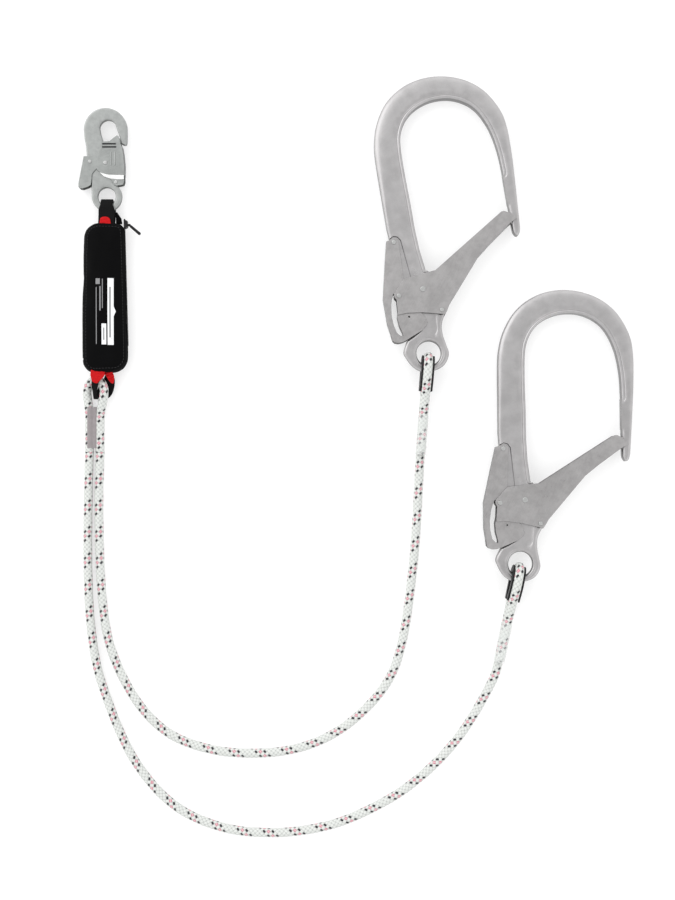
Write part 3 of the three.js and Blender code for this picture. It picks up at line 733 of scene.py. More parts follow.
@dataclass(frozen=True)
class Print(Finish):
    """Heat-pressed print on cloth, worn thin in spots."""

    def wire(self, w: Wiring, shader: Node) -> None:
        """Let the cloth show faintly through the print.

        Args:
            w: the wiring of the material.
            shader: its Principled BSDF.
        """
        grain = w.grain(900.0, 150.0)
        thin = w.remap(grain.outputs["Value"], 0.55, 0.75)
        w.link(w.blend(thin, self.color, self.tone(0.6)), shader.inputs["Base Color"])
        w.link(w.bump(grain.outputs["Height"], 0.00006, 0.4), shader.inputs["Normal"])


@dataclass(frozen=True)
class Backdrop(Finish):
    """Plain pale paper under the object, lit a little from behind."""

    glow: float = 0.52

    def wire(self, w: Wiring, shader: Node) -> None:
        """Keep the paper plain and let it glow.

        Args:
            w: the wiring of the material; not used.
            shader: the principled shader.
        """
        shader.inputs["Base Color"].default_value = (*self.color, 1.0)
        shader.inputs["Emission Color"].default_value = (1.0, 1.0, 1.0, 1.0)
        shader.inputs["Emission Strength"].default_value = self.glow
        shader.inputs["Specular IOR Level"].default_value = 0.1


FORGED = TumbledMetal("forged_aluminium", (0.385, 0.377, 0.379), 0.34, 0.92)
CAST = TumbledMetal("zinc_plated_casting", (0.335, 0.346, 0.339), 0.38, 0.9, 500.0, 0.00012, 160.0)
# painted highlight: a near-white colour for the snap gate's sloping step, standing in for the light
# it catches
PAINTED_HIGHLIGHT_STEP = TumbledMetal("step_painted_highlight", (0.9, 0.91, 0.9), 0.25, 0.7, 700.0, 0.00004, 160.0)
# painted shade: a near-black sheet set behind the snap gate's slots, where inside there is only
# shade
PAINTED_SHADE_SHEET = Moulded("shadowed_inside", (0.03, 0.03, 0.031), 0.6)
SHEET = RolledSheet("gate_sheet_steel", (0.338, 0.33, 0.33), 0.34, 0.95)
SNAP_SHEET = RolledSheet("snap_sheet_steel", (0.285, 0.296, 0.289), 0.36, 0.92, 1.2)
RIVET = TumbledMetal("rivet_steel", (0.42, 0.425, 0.42), 0.3, 1.0, 1500.0, 0.00003, 60.0,
                     0.12, 0.98)
WIRE = RolledSheet("spring_wire", (0.2, 0.2, 0.21), 0.3, 1.0)
SHEATH = RopeSheath("rope_sheath", (0.66, 0.68, 0.655), 0.75)
PLASTIC = Moulded("thimble_plastic", (0.007, 0.007, 0.0075), 0.45)
FILM = ClearFilm("clear_shrink_film", (0.85, 0.87, 0.86), 0.22)
BINDING = Thread("binding_thread", (0.27, 0.245, 0.25), 0.7)
CLOTH = CoatedCloth("absorber_cloth", (0.0024, 0.0024, 0.0026), 0.66)
BLACK_WEB = WovenBand("black_webbing", (0.0052, 0.0052, 0.0055), 0.7)
RED_WEB = WovenBand("red_webbing", (0.47, 0.0085, 0.0105), 0.7)
PANEL_PRINT = Print("panel_print", (0.72, 0.73, 0.74), 0.5)
BAR_PRINT = Print("bar_print", (0.2, 0.2, 0.205), 0.55)
SEAM = Thread("seam_thread", (0.009, 0.009, 0.01), 0.75)
PACK_WEB = CoatedCloth("tear_webbing_cloth", (0.6, 0.03, 0.03), 0.6)
FLOOR = Backdrop("floor_paper", (0.5, 0.5, 0.5), 0.8)


# -------------------- shared making
def centripetal(points: Sequence[Point], step: float) -> np.ndarray:
    """Run a smooth line through points, evenly stepped.

    Args:
        points: the points it passes through.
        step: the distance between the points given back.

    Returns:
        Points along the line, an array of N by 3.
    """
    pts = np.array(points, dtype=float)
    ext = np.vstack([2 * pts[0] - pts[1], pts, 2 * pts[-1] - pts[-2]])
    dense: list[np.ndarray] = []
    for i in range(1, len(ext) - 2):
        p0, p1, p2, p3 = ext[i - 1 : i + 3]
        t0, t1 = 0.0, math.sqrt(np.linalg.norm(p1 - p0))
        t2 = t1 + math.sqrt(np.linalg.norm(p2 - p1))
        t3 = t2 + math.sqrt(np.linalg.norm(p3 - p2))
        for t in np.linspace(t1, t2, SPLINE_PARTS, endpoint=False):
            a1 = (t1 - t) / (t1 - t0) * p0 + (t - t0) / (t1 - t0) * p1
            a2 = (t2 - t) / (t2 - t1) * p1 + (t - t1) / (t2 - t1) * p2
            a3 = (t3 - t) / (t3 - t2) * p2 + (t - t2) / (t3 - t2) * p3
            b1 = (t2 - t) / (t2 - t0) * a1 + (t - t0) / (t2 - t0) * a2
            b2 = (t3 - t) / (t3 - t1) * a2 + (t - t1) / (t3 - t1) * a3
            dense.append((t2 - t) / (t2 - t1) * b1 + (t - t1) / (t2 - t1) * b2)
    line = np.vstack(dense + [pts[-1]])
    run = run_of(line)
    count = max(2, int(round(run[-1] / step)) + 1)
    at = np.linspace(0, run[-1], count)
    return np.stack([np.interp(at, run, line[:, k]) for k in range(3)], axis=1)


def length_of(line: np.ndarray) -> float:
    """Give the length of a line of points."""
    return float(np.linalg.norm(np.diff(line, axis=0), axis=1).sum())


def run_of(line: np.ndarray) -> np.ndarray:
    """Give how far along a line each of its points is."""
    return np.concatenate([[0], np.cumsum(np.linalg.norm(np.diff(line, axis=0), axis=1))])


def stand(x: float, y: float, z: float) -> Matrix:
    """Give the move to a place in the row frame, in millimetres."""
    return Matrix.Translation((x * MM, y * MM, z * MM))


def mesh_of(name: str, verts: Sequence[Point], faces: Sequence[Sequence[int]],
            smooth: bool = False) -> bpy.types.Mesh:
    """Make a mesh from its points and faces.

    Args:
        name: the mesh's name.
        verts: its points, in metres.
        faces: the points of each face.
        smooth: whether its faces are shaded smooth.

    Returns:
        The mesh.
    """
    mesh = bpy.data.meshes.new(name)
    mesh.from_pydata(verts, [], faces)
    if smooth:
        mesh.polygons.foreach_set("use_smooth", [True] * len(mesh.polygons))
    return mesh


def sweep(name: str, line: np.ndarray, section: Sequence[Point], side: Point,
          share: Callable[[int], tuple[float, float]] | None = None,
          capped: bool = True) -> Piece:
    """Carry a closed section along a line without twisting it.

    Args:
        name: the piece's name.
        line: the centreline, N by 3, in metres.
        section: the section's points, the first number along the side direction.
        side: the direction of the section's first axis at the start.
        share: how much of the section's two sizes each ring keeps.
        capped: whether the two ends are closed.

    Returns:
        The new object, with a "band" UV map in metres along and a share round.
    """
    count, sides = len(line), len(section)
    tangents = np.gradient(line, axis=0)
    tangents /= np.linalg.norm(tangents, axis=1)[:, None]
    across = np.array(side, dtype=float)
    verts: list[tuple[float, ...]] = []
    run = run_of(line)
    for i in range(count):
        across = across - tangents[i] * np.dot(across, tangents[i])
        across /= np.linalg.norm(across)
        up = np.cross(tangents[i], across)
        wide, thick = share(i) if share else (1.0, 1.0)
        for x, y in section:
            verts.append(tuple(line[i] + across * x * wide + up * y * thick))
    faces = []
    for i in range(count - 1):
        for j in range(sides):
            k = (j + 1) % sides
            faces.append((i * sides + j, i * sides + k, (i + 1) * sides + k, (i + 1) * sides + j))
    body = len(faces)
    if capped:
        faces.append(tuple(reversed(range(sides))))
        faces.append(tuple((count - 1) * sides + j for j in range(sides)))
    mesh = mesh_of(name, verts, faces, smooth=True)
    size = max(1e-6, max(abs(p[0]) for p in section))
    round_it = max(abs(p[1]) for p in section) > 0.6 * size
    uv = mesh.uv_layers.new(name="band")
    for f, face in enumerate(mesh.polygons):
        for c, loop in enumerate(face.loop_indices):
            vert = mesh.loops[loop].vertex_index
            i, j = divmod(vert, sides)
            if round_it:
                wrap = f < body and f % sides == sides - 1 and c in (1, 2)
                v = (sides if wrap else j) / sides
            else:
                v = section[j][0]
            uv.data[loop].uv = (run[i], v)
    return new_object(name, mesh)


def new_object(name: str, mesh: bpy.types.Mesh) -> Piece:
    """Put a mesh in the scene as an object.

    Args:
        name: the object's name.
        mesh: its mesh.

    Returns:
        The new object.
    """
    mesh.update()
    made = bpy.data.objects.new(name, mesh)
    bpy.context.scene.collection.objects.link(made)
    return made


def circle(radius: float, sides: int) -> list[tuple[float, float]]:
    """Give the points of a round section."""
    turn = 2 * math.pi / sides
    return [(radius * math.cos(turn * i), radius * math.sin(turn * i)) for i in range(sides)]


def flat_section(width: float, thickness: float, ease: float = 0.45) -> list[tuple[float, float]]:
    """Give the section of a band with rounded edges and a few points across.

    Args:
        width: its width.
        thickness: its thickness.
        ease: how much of the thickness its edges keep.

    Returns:
        The section's points.
    """
    w, t = width / 2, thickness / 2
    top = [(w * s, t) for s in (0.94, 0.6, 0.2, -0.2, -0.6, -0.94)]
    low = [(-x, -y) for x, y in top]
    return [(w, 0.0), (w * 0.99, t * ease), *top, (-w * 0.99, t * ease), (-w, 0.0),
            (-w * 0.99, -t * ease), *low, (w * 0.99, -t * ease)]


def smoothing_group() -> Tree:
    """Give the modifier tree that smooths faces except over sharp edges.

    Returns:
        The geometry node tree.
    """
    made = bpy.data.node_groups.get("ease_by_angle")
    if made:
        return made
    made = bpy.data.node_groups.new("ease_by_angle", "GeometryNodeTree")
    for way in ("INPUT", "OUTPUT"):
        made.interface.new_socket(name="Geometry", in_out=way, socket_type="NodeSocketGeometry")
    entry, leave = made.nodes.new("NodeGroupInput"), made.nodes.new("NodeGroupOutput")
    faces = made.nodes.new("GeometryNodeSetShadeSmooth")
    edges = made.nodes.new("GeometryNodeSetShadeSmooth")
    edges.domain = "EDGE"
    angle = made.nodes.new("GeometryNodeInputMeshEdgeAngle")
    test = made.nodes.new("FunctionNodeCompare")
    test.data_type, test.operation = "FLOAT", "LESS_THAN"
    test.inputs[1].default_value = SMOOTH_ANGLE
    made.links.new(angle.outputs[0], test.inputs[0])
    made.links.new(entry.outputs[0], faces.inputs[0])
    made.links.new(faces.outputs[0], edges.inputs[0])
    made.links.new(test.outputs[0], edges.inputs["Shade Smooth"])
    made.links.new(edges.outputs[0], leave.inputs[0])
    return made


def ease_edges(piece: Piece, width: float = 0.0, planar: bool = True) -> None:
    """Round a hard piece's edges and smooth its curved faces.

    Args:
        piece: the object that gets the modifiers.
        width: the rounding of each sharp edge, in metres; none if 0.
        planar: whether flat runs of triangles are first made into whole faces.
    """
    if width:
        weld = piece.modifiers.new("weld", "WELD")
        weld.merge_threshold = WELD_GAP
        if planar:
            flat = piece.modifiers.new("flats", "DECIMATE")
            flat.decimate_type = "DISSOLVE"
            flat.angle_limit = FLAT_ANGLE
        bevel = piece.modifiers.new("edges", "BEVEL")
        bevel.width = width
        bevel.segments = 2
        bevel.limit_method = "ANGLE"
        bevel.angle_limit = BEVEL_ANGLE
        bevel.use_clamp_overlap = False
    smooth = piece.modifiers.new("smooth", "NODES")
    smooth.node_group = smoothing_group()
    if width:
        flatten = piece.modifiers.new("even_faces", "WEIGHTED_NORMAL")
        flatten.keep_sharp = True
        flatten.weight = FACE_WEIGHT


def dress(piece: Piece, finish: Finish) -> None:
    """Give a piece one finish all over."""
    piece.data.materials.clear()
    piece.data.materials.append(finish.material())


def dress_node(name: str, finish: Finish, width: float = 0.0003) -> None:
    """Give a carried-over CAD node its finish and eased edges.

    Args:
        name: the CAD node.
        finish: its finish.
        width: how far its sharp edges are rounded, in metres.
    """
    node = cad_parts[name]
    if node.material_slots:
        for slot in node.material_slots:
            slot.material = finish.material()
    else:
        node.data.materials.append(finish.material())
    ease_edges(node, width)
    log.info("%s is dressed in %s", name, finish.name)


def settle(piece: Piece, body: str, finish: Finish,
           replaced: Iterable[str] = ()) -> Piece:
    """Dress a new piece, tie it to its body and hide the CAD nodes it stands for.

    Args:
        piece: the new object.
        body: the CAD body it rides on.
        finish: its finish.
        replaced: the CAD nodes it stands for.

    Returns:
        The same object.
    """
    dress(piece, finish)
    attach(piece, body)
    nodes = tuple(replaced)
    if nodes:
        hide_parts(*nodes)
    log.info("%s rides on %s", piece.name, body)
    return piece


def to_polygon(points: np.ndarray, loop: np.ndarray, closed: bool = True) -> np.ndarray:
    """Measure how far points stand from a line of segments.

    Args:
        points: N by 2.
        loop: M by 2, the line's points.
        closed: whether the last point joins the first.

    Returns:
        N distances.
    """
    a = loop if closed else loop[:-1]
    b = np.roll(loop, -1, axis=0) if closed else loop[1:]
    best = np.full(len(points), 1e9)
    for p, q in zip(a, b):
        d = q - p
        t = np.clip(((points - p) @ d) / max(1e-12, d @ d), 0, 1)
        best = np.minimum(best, np.linalg.norm(points - p - t[:, None] * d, axis=1))
    return best


def inside(points: np.ndarray, loop: np.ndarray) -> np.ndarray:
    """Say which points lie inside a closed outline.

    Args:
        points: N by 2.
        loop: M by 2.

    Returns:
        N truths.
    """
    x, y = points[:, 0], points[:, 1]
    result = np.zeros(len(points), dtype=bool)
    for (x0, y0), (x1, y1) in zip(loop, np.roll(loop, -1, axis=0)):
        if y0 == y1:
            continue
        crossing = ((y0 > y) != (y1 > y)) & (x < (x1 - x0) * (y - y0) / (y1 - y0) + x0)
        result ^= crossing
    return result


def offset_line(loop: np.ndarray, by: float, closed: bool = True) -> np.ndarray:
    """Shift an outline sideways along its own normals, to the left of its run.

    Args:
        loop: M by 2.
        by: the distance.
        closed: whether the last point joins the first.

    Returns:
        The shifted points, M by 2.
    """
    if closed:
        run = np.roll(loop, -1, axis=0) - np.roll(loop, 1, axis=0)
    else:
        run = np.gradient(loop, axis=0)
    run = run / np.maximum(1e-9, np.linalg.norm(run, axis=1))[:, None]
    return loop + by * np.stack([-run[:, 1], run[:, 0]], axis=1)


def stepped(loop: np.ndarray, step: float, closed: bool = True) -> np.ndarray:
    """Give a line points no further apart than a step, keeping its corners.

    Args:
        loop: M by 2.
        step: the longest gap.
        closed: whether the last point joins the first.

    Returns:
        The denser line.
    """
    ends = np.roll(loop, -1, axis=0) if closed else loop[1:]
    made = []
    for p, q in zip(loop, ends):
        parts = max(1, int(math.ceil(np.linalg.norm(q - p) / step)))
        made.extend(p + (q - p) * k / parts for k in range(parts))
    if not closed:
        made.append(loop[-1])
    return np.array(made)


@dataclass
class ReliefPlate:
    """A flat forging, casting or pillow, the same on both faces, from an outline and a height.

    The outline runs anticlockwise and the holes clockwise; lengths are in millimetres.
    """

    name: str
    outline: np.ndarray
    height: Callable[[np.ndarray], np.ndarray]
    holes: list[np.ndarray] = field(default_factory=list)
    guides: list[tuple[np.ndarray, bool]] = field(default_factory=list)
    rings: tuple[float, ...] = (0.35, 0.9, 1.6, 2.4)
    step: float = 2.5
    grid: float = 6.0
    rim_room: float = 0.9
    guide_room: float = 0.3
    grid_room: float = 0.8
    grid_apart: float = 1.6

    def build(self, place: Matrix) -> Piece:
        """Make the plate's mesh and stand it in the row frame.

        Args:
            place: where its own origin and axes stand, in metres.

        Returns:
            The new object.
        """
        loops = [stepped(self.outline, self.step)] + [stepped(h, self.step) for h in self.holes]
        coords: list[np.ndarray] = []
        edges: list[tuple[int, int]] = []
        for loop in loops:
            self._add(coords, edges, loop, np.ones(len(loop), dtype=bool), True)
        for loop in loops:
            for by in self.rings:
                line = offset_line(loop, by)
                keep = self._clear(line, loops, self.rim_room * by)
                self._add(coords, edges, line, keep, True)
        for line, closed in self.guides:
            line = stepped(line, self.step, closed)
            keep = self._clear(line, loops, self.guide_room)
            self._add(coords, edges, line, keep, closed)
        low, high = self.outline.min(axis=0), self.outline.max(axis=0)
        xs = np.arange(low[0], high[0], self.grid)
        ys = np.arange(low[1], high[1], self.grid)
        field_points = np.array([(x, y) for x in xs for y in ys])
        known = np.vstack(coords)
        keep = self._clear(field_points, loops, max(self.rings) + self.grid_room)
        field_points = field_points[keep]
        far = [np.min(np.linalg.norm(known - p, axis=1)) > self.grid_apart
               for p in field_points]
        if len(field_points):
            coords.append(field_points[np.array(far)])
        flat = np.vstack(coords)
        out = delaunay_2d_cdt([Vector(p) for p in flat], edges, [], 0, 1e-5, False)
        verts = np.array([tuple(v) for v in out[0]])
        faces = np.array([f for f in out[2] if len(f) == 3])
        middle = verts[faces].mean(axis=1)
        keep = inside(middle, loops[0])
        for hole in loops[1:]:
            keep &= ~inside(middle, hole)
        faces = faces[keep]
        return self._close(verts, faces, place)

    @staticmethod
    def _add(coords: list[np.ndarray], edges: list[tuple[int, int]], line: np.ndarray,
             keep: np.ndarray, closed: bool) -> None:
        """Add a line's kept points, joined where neighbours are both kept.

        Args:
            coords: the points so far.
            edges: the joins so far.
            line: the line's points.
            keep: which of them stay.
            closed: whether the last joins the first.
        """
        start = sum(len(c) for c in coords)
        index = np.cumsum(keep) - 1 + start
        coords.append(line[keep])
        last = len(line) if closed else len(line) - 1
        for i in range(last):
            j = (i + 1) % len(line)
            if keep[i] and keep[j]:
                edges.append((int(index[i]), int(index[j])))

    def _clear(self, line: np.ndarray, loops: list[np.ndarray], by: float) -> np.ndarray:
        """Say which points lie in the material, at least a distance from every rim.

        Args:
            line: the points.
            loops: the outline and the holes.
            by: the distance.

        Returns:
            One truth for each point.
        """
        keep = inside(line, loops[0])
        for hole in loops[1:]:
            keep &= ~inside(line, hole)
        for loop in loops:
            keep &= to_polygon(line, loop) > by
        return keep

    def _close(self, verts: np.ndarray, faces: np.ndarray, place: Matrix) -> Piece:
        """Raise both faces and join them with the rim's wall.

        Args:
            verts: the flat mesh's points.
            faces: its triangles.
            place: where it stands.

        Returns:
            The new object.
        """
        used = np.unique(faces)
        renumber = {int(v): i for i, v in enumerate(used)}
        flat = verts[used]
        count = len(flat)
        rise = self.height(flat)
        top = np.column_stack([flat, rise])
        low = np.column_stack([flat, -rise])
        tris = [tuple(renumber[int(v)] for v in f) for f in faces]
        tris = [f if self._ccw(flat, f) else (f[0], f[2], f[1]) for f in tris]
        seen: dict[tuple[int, int], int] = {}
        for a, b, c in tris:
            for e in ((a, b), (b, c), (c, a)):
                seen[e] = 1
        walls = [(b, a, a + count, b + count) for a, b in seen if (b, a) not in seen]
        under = [(a + count, c + count, b + count) for a, b, c in tris]
        points = [tuple(place @ Vector(p * MM)) for p in np.vstack([top, low])]
        mesh = mesh_of(self.name, points, [*tris, *under, *walls])
        band = mesh.uv_layers.new(name="band")
        for loop in mesh.loops:
            x, y = flat[loop.vertex_index % count] * MM
            band.data[loop.index].uv = (y, x)
        return new_object(self.name, mesh)

    @staticmethod
    def _ccw(flat: np.ndarray, f: tuple[int, int, int]) -> bool:
        """Say whether a triangle runs anticlockwise."""
        (x0, y0), (x1, y1), (x2, y2) = flat[f[0]], flat[f[1]], flat[f[2]]
        return (x1 - x0) * (y2 - y0) - (x2 - x0) * (y1 - y0) > 0


def rounded(depth: np.ndarray, reach: float, drop: float) -> np.ndarray:
    """Give how far a rounded rim falls below the face, at depths in from the rim."""
    t = np.clip(1 - depth / reach, 0, 1)
    return drop * (1 - np.sqrt(np.maximum(0.0, 1 - t**2)))


def smoothstep(x: np.ndarray, low: float, high: float) -> np.ndarray:
    """Go smoothly from 0 at low to 1 at high."""
    t = np.clip((x - low) / (high - low), 0, 1)
    return t * t * (3 - 2 * t)


def uniform_spline(points: Sequence[Point], parts: int) -> np.ndarray:
    """Run a smooth line through flat points, a number of parts between each two.

    Args:
        points: what the line passes through.
        parts: the steps between each two.

    Returns:
        Points along the line, N by 2.
    """
    pts = np.array(points, dtype=float)
    ext = np.vstack([pts[0], pts, pts[-1]])
    made = []
    for i in range(1, len(ext) - 2):
        p0, p1, p2, p3 = ext[i - 1 : i + 3]
        for t in np.linspace(0, 1, parts, endpoint=False):
            v0, v1 = (p2 - p0) / 2, (p3 - p1) / 2
            made.append((2 * p1 - 2 * p2 + v0 + v1) * t**3
                        + (-3 * p1 + 3 * p2 - 2 * v0 - v1) * t**2 + v0 * t + p1)
    return np.vstack(made + [pts[-1]])


def arc(centre: Point, radius: float, start: float, end: float, count: int) -> np.ndarray:
    """Give points along an arc, its angles in degrees."""
    turn = np.radians(np.linspace(start, end, count))
    return np.column_stack([centre[0] + radius * np.cos(turn), centre[1] + radius * np.sin(turn)])


def baked(piece: Piece) -> Piece:
    """Make a piece's modifiers its own mesh and leave none on it.

    Args:
        piece: the object.

    Returns:
        The same object.
    """
    graph = bpy.context.evaluated_depsgraph_get()
    mesh = bpy.data.meshes.new_from_object(piece.evaluated_get(graph))
    piece.modifiers.clear()
    piece.data = mesh
    return piece


def coordinates(mesh: bpy.types.Mesh) -> np.ndarray:
    """Give a mesh's points as an array of N by 3.

    Args:
        mesh: the mesh.

    Returns:
        Its points.
    """
    flat = np.empty(len(mesh.vertices) * 3)
    mesh.vertices.foreach_get("co", flat)
    return flat.reshape(-1, 3)


class Skin:
    """The finished skin of a soft piece, for laying things on it."""

    above: float = 0.2
    within: float = 0.015
    outside: float = 0.03

    def __init__(self, piece: Piece) -> None:
        """Take the piece's skin as it stands.

        Args:
            piece: the soft piece.
        """
        self._tree = BVHTree.FromObject(piece, bpy.context.evaluated_depsgraph_get())

    def top(self, x: float, y: float) -> Vector:
        """Give the highest point of the skin over a place, in metres."""
        hit = self._tree.ray_cast(Vector((x, y, self.above)), Vector((0, 0, -1)))[0]
        return hit or self._tree.find_nearest(Vector((x, y, self.within)))[0]

    def side(self, x: float, y: float, z: float, inwards: Point) -> Vector:
        """Give the skin's outermost point at a height, looking inwards.

        Args:
            x: the place, in metres.
            y: the place, in metres.
            z: the height, in metres.
            inwards: the way to look.

        Returns:
            The point on the skin.
        """
        way = Vector((inwards[0], inwards[1], 0.0)).normalized()
        start = Vector((x, y, z)) - way * self.outside
        hit = self._tree.ray_cast(start, way)[0]
        return hit or self._tree.find_nearest(Vector((x, y, z)))[0]


def slab_faces(cols: int, rows: int) -> list[tuple[int, ...]]:
    """Give the faces of a thin closed slab: its top grid, then its under grid and its rim.

    Args:
        cols: the points in a row.
        rows: the rows.

    Returns:
        The faces.
    """
    count = cols * rows
    faces: list[tuple[int, ...]] = []
    for r in range(rows - 1):
        for c in range(cols - 1):
            a = r * cols + c
            quad = (a, a + 1, a + cols + 1, a + cols)
            faces.append(quad)
            faces.append(tuple(count + i for i in reversed(quad)))
    rim = [*range(cols), *(r * cols + cols - 1 for r in range(1, rows)),
           *((rows - 1) * cols + c for c in range(cols - 2, -1, -1)),
           *(r * cols for r in range(rows - 2, 0, -1))]
    for a, b in zip(rim, rim[1:] + rim[:1]):
        faces.append((b, a, a + count, b + count))
    return faces


def draped_patch(name: str, skin: Skin, low: Point, high: Point, lift: float,
                 widen: Callable[[float], float] | None = None) -> Piece:
    """Lay a thin rectangle of print or tape on a skin.

    Args:
        name: the piece's name.
        skin: what it lies on.
        low: its lower left corner, in millimetres.
        high: its upper right corner, in millimetres.
        lift: how far its face stands off the skin, in millimetres.
        widen: how far its right edge stands out at a height along it, in millimetres.

    Returns:
        The new object.
    """
    cols = max(2, int((high[0] - low[0]) / PATCH_ACROSS) + 1)
    rows = max(2, int((high[1] - low[1]) / PATCH_ALONG) + 1)
    top, under = [], []
    for y in np.linspace(low[1], high[1], rows):
        right = high[0] + (widen(y) if widen else 0.0)
        for x in np.linspace(low[0], right, cols):
            at = skin.top(x * MM, y * MM)
            top.append((at.x, at.y, at.z + lift * MM))
            under.append((at.x, at.y, at.z - PATCH_DEPTH * MM))
    return new_object(name, mesh_of(name, top + under, slab_faces(cols, rows)))


def stitch_row(name: str, path: np.ndarray, stitch: float = 0.0026, gap: float = 0.0012,
               thick: float = 0.00032) -> Piece:
    """Sew a row of stitches along a path.

    Args:
        name: the piece's name.
        path: points along the seam, in metres.
        stitch: the length of one stitch.
        gap: the length between two.
        thick: the thread's radius.

    Returns:
        The row as one object.
    """
    run = run_of(path)
    verts: list[tuple[float, ...]] = []
    faces: list[tuple[int, ...]] = []
    sides, shares = STITCH_SIDES, STITCH_SHAPE
    for start in np.arange(0, run[-1] - stitch, stitch + gap):
        first = len(verts)
        for share, size in shares:
            at = [np.interp(start + stitch * share, run, path[:, k]) for k in range(3)]
            ahead = [np.interp(start + stitch * share + 1e-4, run, path[:, k]) for k in range(3)]
            way = Vector(np.subtract(ahead, at)).normalized()
            across = way.cross(Vector((0, 0, 1))).normalized()
            up = across.cross(way)
            for k in range(sides):
                turn = 2 * math.pi * k / sides
                offset = (across * math.cos(turn) + up * math.sin(turn)) * thick * size
                verts.append(tuple(Vector(at) + offset))
        for ring in range(len(shares) - 1):
            for k in range(sides):
                a, b = first + ring * sides + k, first + ring * sides + (k + 1) % sides
                faces.append((a, b, b + sides, a + sides))
        faces.append(tuple(first + k for k in reversed(range(sides))))
        faces.append(tuple(first + (len(shares) - 1) * sides + k for k in range(sides)))
    return new_object(name, mesh_of(name, verts, faces, smooth=True))


# -------------------- studio
@dataclass
class Studio:
    """The pale floor, the soft lights and the camera straight above; sizes in metres."""

    above: float = 1.8
    lens: float = 57.6
    middle: tuple[float, float] = (-0.0231, -0.1025)
    floor_side: float = 8.0
    floor_top: float = -0.0003
    sensor: float = 36.0
    sees_to: float = 50.0
    panels: tuple[tuple[str, Point, float, float], ...] = (
        ("key", (-2.2, 1.9, 2.6), 2.6, 26.0),
        ("fill", (2.4, -1.6, 2.4), 2.6, 12.0),
    )

    def build(self) -> None:
        """Place the camera, the floor and every light."""
        self._camera()
        self._floor()
        self._sky()
        for panel in self.panels:
            self._panel(*panel)
        log.info("studio is set")

    def _camera(self) -> None:
        """Stand the camera straight above, its top towards +Y."""
        data = bpy.data.cameras.new("camera")
        data.sensor_width = self.sensor
        data.lens = self.lens
        data.clip_end = self.sees_to
        camera = bpy.data.objects.new("camera", data)
        camera.location = (*self.middle, self.above)
        bpy.context.scene.collection.objects.link(camera)
        bpy.context.scene.camera = camera

    def _floor(self) -> None:
        """Spread the plain pale floor just under the lanyard."""
        s = self.floor_side / 2
        corners = [(x, y, self.floor_top) for x, y in ((-s, -s), (s, -s), (s, s), (-s, s))]
        floor = new_object("floor", mesh_of("floor", corners, [(0, 1, 2, 3)]))
        dress(floor, FLOOR)

    def _panel(self, name: str, at: Point, size: float, power: float) -> None:
        """Hang a soft square light that looks at the lanyard.

        Args:
            name: the light's name.
            at: where it hangs.
            size: its side.
            power: its power in watts.
        """
        data = bpy.data.lights.new(name, "AREA")
        data.size = size
        data.energy = power
        light = bpy.data.objects.new(name, data)
        light.location = at
        way = Vector((*self.middle, 0.0)) - Vector(at)
        light.rotation_euler = way.to_track_quat("-Z", "Y").to_euler()
        bpy.context.scene.collection.objects.link(light)

    def _sky(self) -> None:
        """Surround everything with soft light, brighter from the upper left."""
        world = bpy.data.worlds.new("soft_surround")
        world.use_nodes = True
        bpy.context.scene.world = world
        w = Wiring(world.node_tree)
        split = w.node("ShaderNodeSeparateXYZ")
        w.link(w.node("ShaderNodeTexCoord").outputs["Generated"], split.inputs[0])
        lean = w.math("MULTIPLY_ADD", split.outputs[0], -0.6,
                      w.math("MULTIPLY", split.outputs[1], 0.8))
        side = w.remap(lean, -0.8, 0.9)
        overhead = w.remap(split.outputs[2], 0.55, 0.97)
        level = w.math("MULTIPLY_ADD", overhead, -0.5, 1.3)
        level = w.math("MULTIPLY_ADD", side, 0.45, level)
        back = world.node_tree.nodes["Background"]
        w.link(level, back.inputs["Strength"])
        back.inputs["Color"].default_value = (1.0, 1.0, 1.0, 1.0)
        bpy.context.scene.view_settings.view_transform = "Standard"


# -------------------- rope
def lying(*points: Point) -> tuple[Point, ...]:
    """Give a rope's route, at its height on the floor where no other is stated."""
    return tuple(p if len(p) == 3 else (*p, ROPE_REST) for p in points)


LEG_1 = lying(
    (-0.319, -0.105), (-0.3204, -0.152), (-0.3202, -0.202), (-0.3184, -0.258),
    (-0.3147, -0.302), (-0.3085, -0.339), (-0.2948, -0.377), (-0.2742, -0.414),
    (-0.2555, -0.437), (-0.2368, -0.453), (-0.2194, -0.463), (-0.1944, -0.472),
    (-0.1695, -0.4776), (-0.1446, -0.48), (-0.1197, -0.4802), (-0.0948, -0.4782),
    (-0.0698, -0.4732), (-0.0449, -0.4645), (-0.02, -0.451), (0.0049, -0.4315),
    (0.0299, -0.4047), (0.0467, -0.3767), (0.0579, -0.3393), (0.0644, -0.3019),
    (0.0691, -0.2645), (0.073, -0.227), (0.0762, -0.18, 0.0058), (0.078, -0.145, 0.0063),
    (0.0792, -0.122, 0.0066), (0.0799, -0.1084, 0.0067),
)
LEG_2 = lying(
    (-0.3323, -0.105), (-0.3336, -0.152), (-0.3343, -0.208), (-0.334, -0.258),
    (-0.3322, -0.302), (-0.3284, -0.339), (-0.3216, -0.377), (-0.3097, -0.414),
    (-0.2954, -0.451), (-0.2761, -0.489), (-0.2468, -0.527), (-0.2194, -0.55),
    (-0.1944, -0.563), (-0.1695, -0.5717), (-0.1446, -0.577), (-0.1197, -0.579),
    (-0.0948, -0.5792), (-0.0698, -0.577), (-0.0449, -0.5727), (-0.02, -0.566),
    (0.0049, -0.556), (0.0299, -0.5436), (0.0548, -0.529), (0.0797, -0.51), (0.1046, -0.487),
    (0.1296, -0.4577), (0.1482, -0.4296, 0.0059), (0.1646, -0.4, 0.0063),
    (0.1728, -0.383, 0.0066), (0.17735, -0.366, 0.0067),
)
